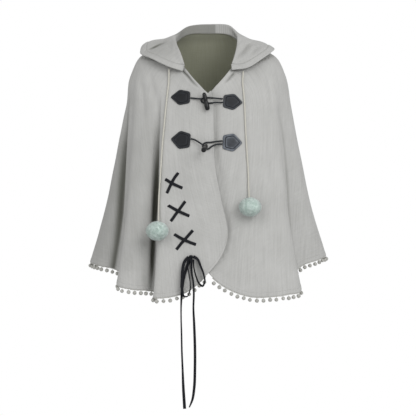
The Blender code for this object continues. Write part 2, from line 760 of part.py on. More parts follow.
def off_cloth(table):
    """Places held off the over front by their lifts, and straight below where the cloth ends."""
    x, z, lift = (column(table, name) * MM for name in ("x", "z", "lift"))
    touch, _ = on_cloth(-1, x, np.maximum(z, LOWEST_REST), 0.0)
    return np.stack([x, touch[:, 1] - lift, z], axis=-1)


def hanging_tape(name, table, count, finish, collection):
    """A free tape: a smooth line through its places, its width turned about the line by their angles."""
    places = off_cloth(table)
    length = np.concatenate([[0], np.cumsum(np.linalg.norm(np.diff(places, axis=0), axis=1))])
    at = np.linspace(0, length[-1], count)
    line = smooth(at, length, places)
    turn = np.radians(smooth(at, length, column(table, "turn")))[:, None]
    ahead = unit(np.gradient(line, axis=0))
    depth = np.array([0, -1.0, 0])
    face = unit(depth - ahead * (ahead @ depth)[:, None])
    across = np.cross(ahead, face)
    wide = across * np.cos(turn) + face * np.sin(turn)
    made = add(name, tape_mesh(name, line, wide), finish, collection)
    shell = made.modifiers.new("thickness", "SOLIDIFY")
    shell.thickness = LACE_THICKNESS
    shell.offset = 0.0
    return made


def knot(finish, collection):
    """The bow's knot: a rounded lump of lace."""
    bm = bmesh.new()
    bmesh.ops.create_icosphere(bm, subdivisions=2, radius=0.5)
    bmesh.ops.scale(bm, verts=bm.verts, vec=KNOT_SIZE)
    bmesh.ops.translate(bm, verts=bm.verts, vec=off_cloth([KNOT])[0])
    return add("lace_knot", as_mesh("lace_knot", bm), finish, collection)


def pompom(name, top, away, finish, collection):
    """A round pompom: short locks stand on a quarter of its core's faces, but not where its cord ends."""
    core = POMPOM_DIAMETER / 2 - POMPOM_LOCK
    bm = bmesh.new()
    bmesh.ops.create_icosphere(bm, subdivisions=2, radius=core)
    clear = [face for face in bm.faces if face.calc_center_median().normalized().dot(-away) < 0.9]
    raised = bmesh.ops.poke(bm, faces=clear[::4])["verts"]
    for vertex in raised:
        vertex.co = vertex.co.normalized() * POMPOM_DIAMETER / 2
    bmesh.ops.scale(bm, verts=bm.verts, vec=POMPOM_SQUASH)
    reach = core / Vector(part / squash for part, squash in zip(away, POMPOM_SQUASH)).length
    bmesh.ops.translate(bm, verts=bm.verts, vec=Vector(top) + away * (reach + CORD_SEAT))
    return add(name, as_mesh(name, bm), finish, collection)


def drawcord(name, side, table, finish, ball_finish, collection):
    """A drawcord's free end lying on a front, with its pompom resting on the cloth below it."""
    points, normals = runs(side, table)
    tube(name, points, DRAWCORD_DIAMETER, finish, collection)
    down = unit(np.array([points[-1][0] - points[-3][0], 0, points[-1][2] - points[-3][2]]))
    out = unit(normals[-1] * np.array([POMPOM_TURN, 1, 1]))
    away = unit(down * math.sqrt(1 - POMPOM_LEAN**2) + out * POMPOM_LEAN)
    pompom(name.replace("drawcord", "pompom"), points[-1], Vector(away), ball_finish, collection)


def clear_scene():
    for item in list(bpy.data.objects):
        bpy.data.objects.remove(item, do_unlink=True)
    for item in list(bpy.data.collections):
        bpy.data.collections.remove(item)


def main():
    clear_scene()
    home = bpy.data.collections.new("hooded_cape")
    bpy.context.scene.collection.children.link(home)
    grey = material("grey_woven_cloth", (0.47, 0.47, 0.46), 0.95)
    cream = material("cream_cord", (0.60, 0.58, 0.50), 0.9)
    mint = material("mint_yarn", (0.40, 0.49, 0.45), 0.95)
    leather = material("charcoal_leather", (0.035, 0.036, 0.039), 0.45)
    horn = material("black_horn", (0.02, 0.02, 0.022), 0.35)
    black_cord = material("black_cord", (0.02, 0.02, 0.02), 0.8)
    lace = material("black_lace", (0.015, 0.015, 0.015), 0.7)

    cloth("front_right", front_points(-1), CLOTH_THICKNESS, -1.0, grey, home)
    cloth("front_left", front_points(1), CLOTH_THICKNESS, -1.0, grey, home)
    cloth("back", back_points(), CLOTH_THICKNESS, -1.0, grey, home)
    cloth("hood_right", hood_points(-1), HOOD_THICKNESS, 0.0, grey, home)
    cloth("hood_left", hood_points(1), HOOD_THICKNESS, 0.0, grey, home)
    ball_trim("trim_right", -1, grey, home)
    ball_trim("trim_left", 1, grey, home)
    ball_trim("trim_back", 0, grey, home)
    for row in PATCHES:
        patch(row, leather, home)
    for row in TOGGLES:
        toggle(row, horn, home)
    tube("cord_upper", runs(0, CORD_UPPER)[0], TOGGLE_CORD_DIAMETER, black_cord, home)
    tube("cord_lower", runs(0, CORD_LOWER)[0], TOGGLE_CORD_DIAMETER, black_cord, home)
    tube("loop_upper", runs(0, LOOP_UPPER)[0], TOGGLE_CORD_DIAMETER, black_cord, home)
    tube("loop_lower", runs(0, LOOP_LOWER)[0], TOGGLE_CORD_DIAMETER, black_cord, home)
    drawcord("drawcord_right", -1, DRAWCORD_RIGHT, cream, mint, home)
    drawcord("drawcord_left", 1, DRAWCORD_LEFT, cream, mint, home)
    for row in STRAPS:
        strap(row, lace, home)
    knot(lace, home)
    hanging_tape("lace_loop_right", LOOP_RIGHT_SIDE, 26, lace, home)
    hanging_tape("lace_loop_left", LOOP_LEFT_SIDE, 22, lace, home)
    hanging_tape("lace_tail_right", TAIL_RIGHT, 18, lace, home)
    hanging_tape("lace_tail_left", TAIL_LEFT, 24, lace, home)


main()
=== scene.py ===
"""The looks of a hooded cape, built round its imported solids.

Metres, +Z up. The wearer faces -Y, and the origin is where the neck opening rests.
Bearings are degrees round the wearer: 0 is the front, -90 the wearer's right, 90 the wearer's left.
A level runs from 0 at the neckline to 1 at the hem. Tables are in millimetres and degrees.
"""

import logging
import math
from dataclasses import dataclass, field
from enum import Enum
from typing import Any, NamedTuple, Sequence

import bpy
import numpy as np
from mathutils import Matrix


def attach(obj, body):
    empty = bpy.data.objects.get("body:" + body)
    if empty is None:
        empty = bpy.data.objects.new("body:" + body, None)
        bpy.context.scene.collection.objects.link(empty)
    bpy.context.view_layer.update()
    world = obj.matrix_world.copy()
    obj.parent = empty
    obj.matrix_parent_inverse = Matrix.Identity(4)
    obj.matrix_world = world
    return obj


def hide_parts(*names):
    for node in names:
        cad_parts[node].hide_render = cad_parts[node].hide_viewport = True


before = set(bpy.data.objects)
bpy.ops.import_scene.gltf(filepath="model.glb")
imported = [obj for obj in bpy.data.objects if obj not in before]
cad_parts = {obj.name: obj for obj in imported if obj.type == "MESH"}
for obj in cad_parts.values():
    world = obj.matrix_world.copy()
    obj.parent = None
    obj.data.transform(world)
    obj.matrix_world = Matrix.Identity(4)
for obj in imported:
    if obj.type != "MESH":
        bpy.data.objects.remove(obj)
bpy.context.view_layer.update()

LOG = logging.getLogger("hooded_cape")
MM = 0.001
BODY = "root"
EDGE_ROUND = 0.8
# A wave texture of scale 1 repeats every pi / 10, so this over a pitch gives bands at that pitch.
WAVE_SCALE = 0.31416
Array = np.ndarray


class Panel(Enum):
    """The cut piece of the cape that a point lies on."""

    OVER = -1
    PLAIN = 0
    UNDER = 1
    BACK = 2


class Half(Enum):
    """One half of the hood, by the wearer's side."""

    RIGHT = -1
    LEFT = 1


class Level(NamedTuple):
    """One ring of the cape without folds."""

    level: float
    half_width: float
    side_z: float
    front: float
    front_z: float
    back: float
    back_z: float


LEVELS = (
    Level(0.00, 95, 2, 130, -155, 74, 41),
    Level(0.10, 150, -14, 136, -180, 102, 10),
    Level(0.18, 196, -40, 140, -208, 122, -40),
    Level(0.26, 220, -88, 145, -246, 135, -95),
    Level(0.40, 237, -178, 154, -322, 150, -190),
    Level(0.60, 264, -325, 169, -450, 172, -342),
    Level(0.80, 295, -474, 185, -578, 196, -494),
    Level(1.00, 337, -622, 205, -706, 225, -645),
)


class Fold(NamedTuple):
    """A fold's crest, edge or valley: its bearing, where it meets the hem and where it starts."""

    bearing: float
    hem_x: float
    hem_y: float
    hem_z: float
    start: float


FOLDS = (
    Fold(-180, 0, 226, -645, 0.30),
    Fold(-174, -30, 218, -645, 0.30),
    Fold(-163, -82, 172, -641, 0.34),
    Fold(-151, -138, 214, -640, 0.32),
    Fold(-144, -172, 206, -639, 0.32),
    Fold(-131, -196, 142, -634, 0.34),
    Fold(-119, -256, 152, -630, 0.32),
    Fold(-113, -284, 126, -628, 0.32),
    Fold(-103, -280, 62, -625, 0.36),
    Fold(-91, -337, 10, -622, 0.28),
    Fold(-84, -308, -46, -629, 0.26),
    Fold(-78, -262, -68, -638, 0.22),
    Fold(-73, -236, -92, -652, 0.20),
    Fold(-66, -250, -150, -675, 0.20),
    Fold(-56, -206, -178, -688, 0.22),
    Fold(-47, -167, -160, -692, 0.18),
    Fold(-42, -141, -152, -697, 0.16),
    Fold(-35, -150, -202, -706, 0.16),
    Fold(-18, -75, -208, -708, 0.24),
    Fold(0, 0, -206, -706, 0.24),
    Fold(14, 78, -208, -708, 0.24),
    Fold(30, 158, -206, -707, 0.26),
    Fold(45, 214, -192, -701, 0.26),
    Fold(57, 255, -155, -690, 0.20),
    Fold(66, 240, -98, -650, 0.18),
    Fold(72, 264, -74, -628, 0.18),
    Fold(80, 310, -46, -613, 0.24),
    Fold(90, 337, 10, -603, 0.30),
    Fold(104, 276, 60, -609, 0.36),
    Fold(114, 282, 122, -617, 0.32),
    Fold(121, 254, 150, -623, 0.32),
    Fold(132, 190, 146, -632, 0.34),
    Fold(145, 168, 208, -640, 0.32),
    Fold(152, 132, 216, -640, 0.32),
    Fold(164, 76, 176, -643, 0.34),
    Fold(174, 30, 219, -645, 0.30),
    Fold(180, 0, 226, -645, 0.30),
)


class Edge(NamedTuple):
    """How far across from the centre each front's free edge runs."""

    level: float
    over: float
    under: float


EDGES = (
    Edge(0.00, 7, -10),
    Edge(0.10, 14, -14),
    Edge(0.30, 17, -16),
    Edge(0.45, 21, -20),
    Edge(0.58, 36, -31),
    Edge(0.70, 54, -44),
    Edge(1.00, 54, -44),
)
CORNER_START = {Panel.OVER: -165 * MM, Panel.UNDER: 150 * MM}
TRIM_END = {Panel.OVER: -6 * MM, Panel.UNDER: 12 * MM}


class Station(NamedTuple):
    """A section of the hood: where it rolls over, where its edge lies and its bag's depth.

    The last four raise and widen the edge of the wearer's left half, and raise and narrow its roll.
    """

    bearing: float
    roll_x: float
    roll_y: float
    roll_z: float
    rim_x: float
    rim_y: float
    rim_z: float
    bag: float
    left_up: float
    left_out: float
    roll_up: float
    roll_in: float


STATIONS = (
    Station(-45, -66, -103, -72, -71, -110, -88, 0, 3, -4, 0, 0),
    Station(-58, -75, -85, -44, -111, -110, -75, 0, -3, 0, 0, 0),
    Station(-72, -85, -50, -14, -158, -84, -50, 0, 4, 0, 0, 3),
    Station(-88, -93, -8, 15, -190, -34, -30, 0, 10, -4, 2, 9),
    Station(-108, -85, 31, 28, -182, 46, 5, 0, -13, -2, 5, 6),
    Station(-140, -57, 75, 59, -150, 158, 6, 102, 3, 0, 4, 0),
    Station(-180, 0, 96, 69, 0, 206, -34, 170, 0, 0, 0, 0),
)


class Run(NamedTuple):
    """A place on a cord: across, up, and how far its middle stands out from the cloth."""

    x: float
    z: float
    lift: float


DRAWCORD_RIGHT = (
    Run(-108.5, -80.5, 9.0),
    Run(-108.5, -98, 4.5),
    Run(-109, -120, 3.2),
    Run(-113, -160, 3.2),
    Run(-117, -200, 3.2),
    Run(-121, -245, 3.2),
    Run(-125, -290, 3.2),
    Run(-128, -340, 3.2),
    Run(-131, -390, 3.2),
    Run(-134, -440, 3.2),
    Run(-134.5, -484, 6.0),
    Run(-134, -517, 12.5),
)
DRAWCORD_LEFT = (
    Run(98, -88.5, 8.0),
    Run(97, -102, 4.0),
    Run(96, -120, 3.2),
    Run(98.5, -150, 3.2),
    Run(101, -190, 3.2),
    Run(102.5, -230, 3.2),
    Run(104.5, -275, 3.2),
    Run(107, -320, 3.2),
    Run(110, -370, 3.6),
    Run(111, -420, 6.0),
    Run(112.5, -452, 11.0),
)
CORD_UPPER = (Run(-48.8, -166, 6.9), Run(-38, -167.5, 9), Run(-26, -169, 12.5), Run(-13.6, -170.5, 16))
CORD_LOWER = (Run(-47.4, -279, 7.2), Run(-37, -282, 10), Run(-26, -288.5, 14), Run(-12.2, -298, 17.5))
LOOP_UPPER = (
    Run(41.5, -168.5, 3.0),
    Run(30, -168, 6.0),
    Run(18, -167.2, 8.4),
    Run(4, -166, 8.4),
    Run(-10, -166.2, 8.4),
    Run(-17, -169, 8.4),
    Run(-19, -173.4, 8.4),
    Run(-17, -177.6, 8.4),
    Run(-10, -180.6, 8.4),
    Run(4, -181, 8.4),
    Run(18, -179.6, 8.4),
    Run(30, -178.8, 6.0),
    Run(41.5, -178.5, 3.0),
)
LOOP_LOWER = (
    Run(40, -285, 3.0),
    Run(30, -286, 6.0),
    Run(18, -287.6, 8.4),
    Run(6, -289.4, 8.4),
    Run(-4.7, -289.9, 8.4),
    Run(-11, -292.6, 8.4),
    Run(-14, -298.6, 8.4),
    Run(-11.5, -305, 8.4),
    Run(-4.7, -308.2, 8.4),
    Run(3, -306.4, 8.4),
    Run(9, -301, 8.4),
    Run(18, -296.6, 8.4),
    Run(30, -294.3, 6.0),
    Run(40, -293.6, 3.0),
)


class PatchPlace(NamedTuple):
    """Where a leather patch lies on its front, its tilt and height, and how rubbed it is."""

    name: str
    panel: Panel
    x: float
    z: float
    tilt: float
    tall: float
    wear: float


PATCHES = (
    PatchPlace("patch_upper_right", Panel.OVER, -75, -163.5, -2, 1.0, 0.12),
    PatchPlace("patch_lower_right", Panel.OVER, -74, -282, -5, 1.16, 0.12),
    PatchPlace("patch_upper_left", Panel.UNDER, 67.5, -176, -4, 1.05, 0.25),
    PatchPlace("patch_lower_left", Panel.UNDER, 66, -289, -2, 1.16, 0.9),
)
PATCH_OUTLINE = ((-29.5, 0), (-4, -22), (25.5, -16), (25.5, 16), (-4, 22))


class TogglePlace(NamedTuple):
    """Where a toggle's middle is and which way its thick end points."""

    name: str
    x: float
    z: float
    lift: float
    along: tuple[float, float, float]


TOGGLES = (
    TogglePlace("toggle_upper", -6, -177, 17.9, (0.225, 0.0, -0.974)),
    TogglePlace("toggle_lower", -8.7, -306, 33.0, (-0.16, -0.93, -0.33)),
)
# Places along a toggle, from -1 to 1, and the share of its full radius there.
TOGGLE_PROFILE = (
    (-1, 0.1),
    (-0.97, 0.40),
    (-0.9, 0.66),
    (-0.75, 0.84),
    (-0.25, 0.92),
    (-0.06, 0.86),
    (0, 0.82),
    (0.06, 0.88),
    (0.3, 1.0),
    (0.8, 0.98),
    (0.93, 0.80),
    (0.98, 0.52),
    (1, 0.12),
)
TOGGLE_ENDS = (-0.9, 0.93)


class Strap(NamedTuple):
    """A strap of a lace cross: its lift where it crosses, and the places it runs through."""

    name: str
    lift: float
    places: tuple[tuple[float, float], ...]


STRAPS = (
    Strap("lace_1_under", 0, ((-80, -371), (-92, -387), (-102, -406), (-113, -430))),
    Strap("lace_1_over", 1.6, ((-118, -389), (-100, -400), (-84, -408), (-68, -415))),
    Strap("lace_2_under", 0, ((-61, -449), (-74, -467), (-88, -486), (-102, -506))),
    Strap("lace_2_over", 1.6, ((-109, -461), (-90, -472), (-70, -482), (-49, -491))),
    Strap("lace_3_under", 0.5, ((-40, -528), (-55, -545), (-71, -563), (-87, -583))),
    Strap("lace_3_over", 2.1, ((-93, -539), (-74, -550), (-53, -560), (-31, -568))),
)


class Bow(NamedTuple):
    """A place on the bow's lace: across, up, out from the cloth, and the lace's turn about its line."""

    x: float
    z: float
    lift: float
    turn: float


KNOT = Bow(-46, -600, 4.7, 0)
LOOP_RIGHT_SIDE = (
    Bow(-52.6, -600.5, 5.0, 10),
    Bow(-62, -611, 7.2, 8),
    Bow(-68, -632, 9.8, 14),
    Bow(-70, -662, 12, 20),
    Bow(-69, -690, 16, 25),
    Bow(-64, -705, 18.5, 60),
    Bow(-57, -706, 19, 72),
    Bow(-49, -692, 18, 66),
    Bow(-47.5, -672, 15.5, 70),
    Bow(-51, -648, 12.5, 68),
    Bow(-55, -625, 10.5, 70),
    Bow(-55, -609, 9.5, 60),
)
LOOP_LEFT_SIDE = (
    Bow(-39.9, -599.5, 5.0, 0),
    Bow(-30, -605, 6.5, 30),
    Bow(-20, -625, 9, 48),
    Bow(-11, -650, 12, 55),
    Bow(-9, -668, 14.5, 55),
    Bow(-15, -678, 16, 45),
    Bow(-23, -672, 15.5, 50),
    Bow(-32, -652, 13, 60),
    Bow(-38, -628, 10.5, 65),
    Bow(-39, -608, 9.5, 60),
)
TAIL_RIGHT = (
    Bow(-48, -605.0, 4.5, 0),
    Bow(-56, -625, 5.0, 8),
    Bow(-64, -650, 5.8, 12),
    Bow(-69, -680, 8.5, 15),
    Bow(-71, -705, 13, 42),
    Bow(-72, -730, 17, 59),
    Bow(-72, -765, 20, 64),
    Bow(-71, -800, 21, 60),
    Bow(-70, -850, 21, 57),
    Bow(-68, -900, 21, 50),
    Bow(-66, -950, 21, 28),
    Bow(-62.5, -1006, 21, 6),
)
TAIL_LEFT = (
    Bow(-44.8, -604.7, 6.2, 30),
    Bow(-44, -640, 8.5, 55),
    Bow(-39, -672, 12, 55),
    Bow(-38, -700, 16, 50),
    Bow(-39, -735, 20, 52),
    Bow(-37, -780, 21, 38),
    Bow(-35, -840, 21, 30),
    Bow(-35, -900, 21, 28),
    Bow(-37, -950, 21, 28),
    Bow(-42, -982, 21, 40),
    Bow(-50, -1002, 21, 66),
)
LOWEST_REST = -690 * MM


class Spot(NamedTuple):
    """A place on a crease, seen from the front: across, up, and how far out it stands (in, below 0)."""

    x: float
    z: float
    depth: float


class Crease(NamedTuple):
    """A ridge or trough down a panel, with its width toward the wearer's right and left."""

    right_width: float
    left_width: float
    spots: tuple[Spot, ...]


def crease(right_width: float, left_width: float, *spots: tuple[float, float, float]) -> Crease:
    """A crease through its places, given from the top down."""
    return Crease(right_width, left_width, tuple(Spot(*spot) for spot in spots))


CREASES: dict[Panel, tuple[Crease, ...]] = {
    Panel.OVER: (
        crease(
            9, 3,
            (-134, -150, 0), (-137, -230, -6), (-140, -320, -13), (-143, -460, -25),
            (-147, -600, -21), (-152, -720, 0),
        ),
        crease(
            8, 4,
            (-222, -110, 0), (-229, -180, -8), (-236, -300, -13), (-243, -480, -8), (-250, -580, 0),
        ),
        crease(4, 3, (-74, -84, 0), (-66, -94, -6), (-40, -126, -6), (-26, -142, 0)),
        crease(8, 8, (-166, -70, 0), (-160, -105, -3.5), (-150, -150, -3), (-142, -200, 0)),
        crease(8, 8, (-192, -90, 0), (-186, -130, -3), (-180, -190, -2.5), (-178, -260, 0)),
        crease(8, 6, (-116, -410, 0), (-117, -470, -3), (-116, -560, -3.5), (-115, -650, 0)),
        crease(14, 14, (-34, -190, 0), (-30, -260, -2), (-26, -380, -2), (-24, -470, 0)),
        crease(10, 10, (-60, -420, 0), (-66, -500, 1.5), (-72, -640, 0)),
    ),
    Panel.UNDER: (
        crease(2, 7, (192, -170, 0), (201, -230, -2), (213, -370, -3), (224, -480, -3), (240, -600, 0)),
        crease(
            9, 6,
            (22, -150, 0), (23, -200, -4.5), (25, -320, -5), (36, -380, -4.5), (47, -444, -4),
            (55, -510, -5), (55, -553, -5.5), (42, -600, -5), (22, -640, -2),
        ),
        crease(3, 4, (76, -90, 0), (70, -98, -5), (56, -114, -5), (44, -126, 0)),
        crease(20, 16, (140, -200, 0), (150, -300, 2.5), (166, -420, 3), (176, -560, 0)),
        crease(14, 14, (126, -280, 0), (130, -380, -2.5), (138, -520, -3), (146, -660, 0)),
        crease(9, 9, (160, -70, 0), (168, -110, -3), (176, -170, -2.5), (180, -230, 0)),
        crease(16, 12, (196, -330, 0), (204, -420, 2), (212, -560, 2), (214, -640, 0)),
    ),
    Panel.BACK: (
        crease(12, 7, (-150, -60, 0), (-140, -140, -6), (-122, -260, -6), (-110, -380, 0)),
        crease(7, 12, (150, -64, 0), (138, -150, -6), (118, -250, -5), (100, -340, 0)),
        crease(14, 12, (-44, -150, 0), (-40, -240, -4), (-30, -380, -4), (-24, -480, 0)),
        crease(10, 14, (56, -180, 0), (52, -280, -4), (44, -400, -4), (40, -500, 0)),
        crease(10, 8, (-200, -200, 0), (-206, -320, -4), (-214, -460, -4), (-220, -560, 0)),
        crease(8, 10, (204, -180, 0), (208, -300, -4), (214, -420, -4), (220, -540, 0)),
    ),
}
# Dim places, read as creases are, but a spot's last number is how dim the cloth looks there, from 0 to 1:
# deep valleys, sides that turn from the light, the lapels' folds and what the hood's edge shades.
SHADES: dict[Panel, tuple[Crease, ...]] = {
    Panel.OVER: (
        crease(
            26, 3,
            (-134, -200, 0), (-139, -300, 0.2), (-143, -460, 0.28), (-147, -620, 0.28),
            (-150, -720, 0.15),
        ),
        crease(
            13, 6,
            (-216, -130, 0), (-229, -215, 0.25), (-236, -290, 0.6), (-243, -400, 0.75),
            (-250, -529, 0.8), (-262, -624, 0.85), (-266, -650, 0.85),
        ),
        crease(
            34, 42,
            (-258, -240, 0), (-274, -350, 0.2), (-292, -500, 0.24), (-312, -600, 0.2),
            (-320, -640, 0.1),
        ),
        crease(34, 30, (-186, -180, 0), (-192, -300, 0.1), (-198, -480, 0.12), (-204, -640, 0.08)),
        crease(
            2.5, 2.5,
            (-74, -82, 0), (-68, -90, 0.8), (-54, -106, 0.7), (-40, -124, 0.35), (-26, -142, 0),
        ),
        crease(4, 4, (-190, -38, 0), (-186, -42, 0.5), (-107, -66, 0.5), (-72, -84, 0.6), (-66, -88, 0)),
    ),
    Panel.UNDER: (
        crease(
            1.8, 4,
            (196, -180, 0), (202, -215, 0.1), (208, -252, 0.2), (222, -391, 0.3), (229, -513, 0.3),
            (247, -643, 0.15),
        ),
        crease(2.5, 2.5, (78, -86, 0), (70, -96, 0.6), (58, -112, 0.4), (44, -128, 0)),
        crease(4, 4, (184, -32, 0), (180, -37, 0.5), (119, -67, 0.5), (70, -86, 0.6), (64, -90, 0)),
    ),
    Panel.BACK: (
        crease(16, 8, (-70, -320, 0), (-76, -430, 0.25), (-82, -560, 0.4), (-84, -650, 0.4)),
        crease(8, 14, (64, -340, 0), (70, -430, 0.2), (76, -560, 0.4), (78, -650, 0.4)),
        crease(14, 8, (-150, -300, 0), (-172, -420, 0.3), (-190, -560, 0.45), (-196, -640, 0.45)),
        crease(8, 14, (146, -320, 0), (166, -420, 0.25), (184, -560, 0.45), (190, -640, 0.45)),
    ),
}
HOOD_CREASES: dict[Half, tuple[Crease, ...]] = {
    Half.RIGHT: (
        crease(4, 5, (-122, 4, 0), (-136, -3, -5), (-153, -12, -7), (-169, -21, -6), (-179, -27, 0)),
        crease(9, 9, (-104, 8, 0), (-108, -16, -4), (-104, -44, 0)),
        crease(7, 8, (-88, 4, 0), (-92, -20, -3), (-90, -52, 0)),
    ),
    Half.LEFT: (
        crease(5, 7, (124, 2, 0), (114, -10, -6), (97, -35, -6), (77, -58, 0)),
        crease(5, 7, (150, -8, 0), (138, -20, -4.5), (116, -44, 0)),
        crease(6, 5, (106, 12, 0), (96, -6, 3.5), (84, -30, 0)),
    ),
}
HOOD_SHADES: dict[Half, tuple[Crease, ...]] = {
    Half.RIGHT: (
        crease(
            2.5, 3.5,
            (-124, 3, 0), (-137, -3, 0.5), (-153, -12, 0.75), (-163, -17.5, 0.4), (-170, -21.5, 0),
        ),
        crease(45, 45, (-90, 20, 0), (-115, 0, 0.2), (-140, -30, 0.2), (-150, -60, 0)),
    ),
    Half.LEFT: (
        crease(4, 5, (124, 2, 0), (114, -10, 0.3), (97, -35, 0.25), (77, -58, 0)),
        crease(3, 5, (150, -8, 0), (138, -20, 0.2), (116, -44, 0)),
    ),
}


def column(table: Sequence[NamedTuple], name: str) -> Array:
    """One named column of a table, as numbers."""
    return np.array([getattr(row, name) for row in table], float)


def smooth(at: Any, knots: Any, values: Any) -> Array:
    """A cubic curve through the values at the knots, with the slopes of their neighbours.

    Args:
        at: the places to read, of any shape.
        knots: the places of the values, in rising order.
        values: one value, or one row of values, for each knot.

    Returns:
        The values there, with the shape of at and of one row.
    """
    at = np.asarray(at, float)
    knots = np.asarray(knots, float)
    values = np.asarray(values, float)
    slopes = np.gradient(values, knots, axis=0)
    low = np.clip(np.searchsorted(knots, at, side="right") - 1, 0, len(knots) - 2)
    span = knots[low + 1] - knots[low]
    t = np.clip((at - knots[low]) / span, 0.0, 1.0)
    extra = (1,) * (values.ndim - 1)
    t = t.reshape(t.shape + extra)
    span = span.reshape(span.shape + extra)
    share = 3 * t**2 - 2 * t**3
    start = (t - 2 * t**2 + t**3) * span * slopes[low]
    end = (t**3 - t**2) * span * slopes[low + 1]
    return values[low] * (1 - share) + values[low + 1] * share + start + end


def rise(x: Array, low: float, high: float) -> Array:
    """0 before low, 1 after high, and smooth between."""
    t = np.clip((x - low) / (high - low), 0.0, 1.0)
    return t * t * (3 - 2 * t)


def unit(vectors: Array) -> Array:
    """The vectors at length one."""
    return vectors / np.linalg.norm(vectors, axis=-1, keepdims=True)


def run_length(points: Array, axis: int) -> Array:
    """The distance run along one axis of a line or grid of points, from 0 at its start.

    Args:
        points: places, with x, y and z last.
        axis: the axis to run along.

    Returns:
        The distances, with the shape of points but for x, y and z.
    """
    steps = np.linalg.norm(np.diff(points, axis=axis), axis=-1)
    pad = [(0, 0)] * steps.ndim
    pad[axis] = (1, 0)
    return np.cumsum(np.pad(steps, pad), axis=axis)


def ripple(points: Array, wave: float, seed: int) -> Array:
    """A gentle uneven swell from -1 to 1: the mean of six sine waves that run in seeded directions.

    Args:
        points: places, with x, y and z last.
        wave: the usual wavelength.
        seed: which swell.

    Returns:
        One number for each place.
    """
    rng = np.random.default_rng(seed)
    ways = unit(rng.normal(size=(6, 3))) * (2 * math.pi / wave) * rng.uniform(0.6, 1.6, (6, 1))
    return np.sin(points @ ways.T + rng.uniform(0, 2 * math.pi, 6)).mean(axis=-1)


def crease_depth(creases: Sequence[Crease], points: Array) -> Array:
    """How far creases move points out.

    Args:
        creases: the creases, each with its places from the top down.
        points: places, with x, y and z last.

    Returns:
        The sum of bell curves across each crease's line, as deep as its places say.
    """
    total = np.zeros(points.shape[:-1])
    for row in creases:
        spots = row.spots[::-1]
        knots = column(spots, "z") * MM
        z = np.clip(points[..., 2], knots[0], knots[-1])
        slope = np.gradient(column(spots, "x"), column(spots, "z"))
        line_x = smooth(z, knots, column(spots, "x") * MM)
        away = (points[..., 0] - line_x) / np.sqrt(1 + smooth(z, knots, slope) ** 2)
        width = np.where(away < 0, row.right_width, row.left_width) * MM
        depth = np.interp(points[..., 2], knots, column(spots, "depth") * MM, left=0.0, right=0.0)
        total = total + depth * np.exp(-((away / width) ** 2))
    return total


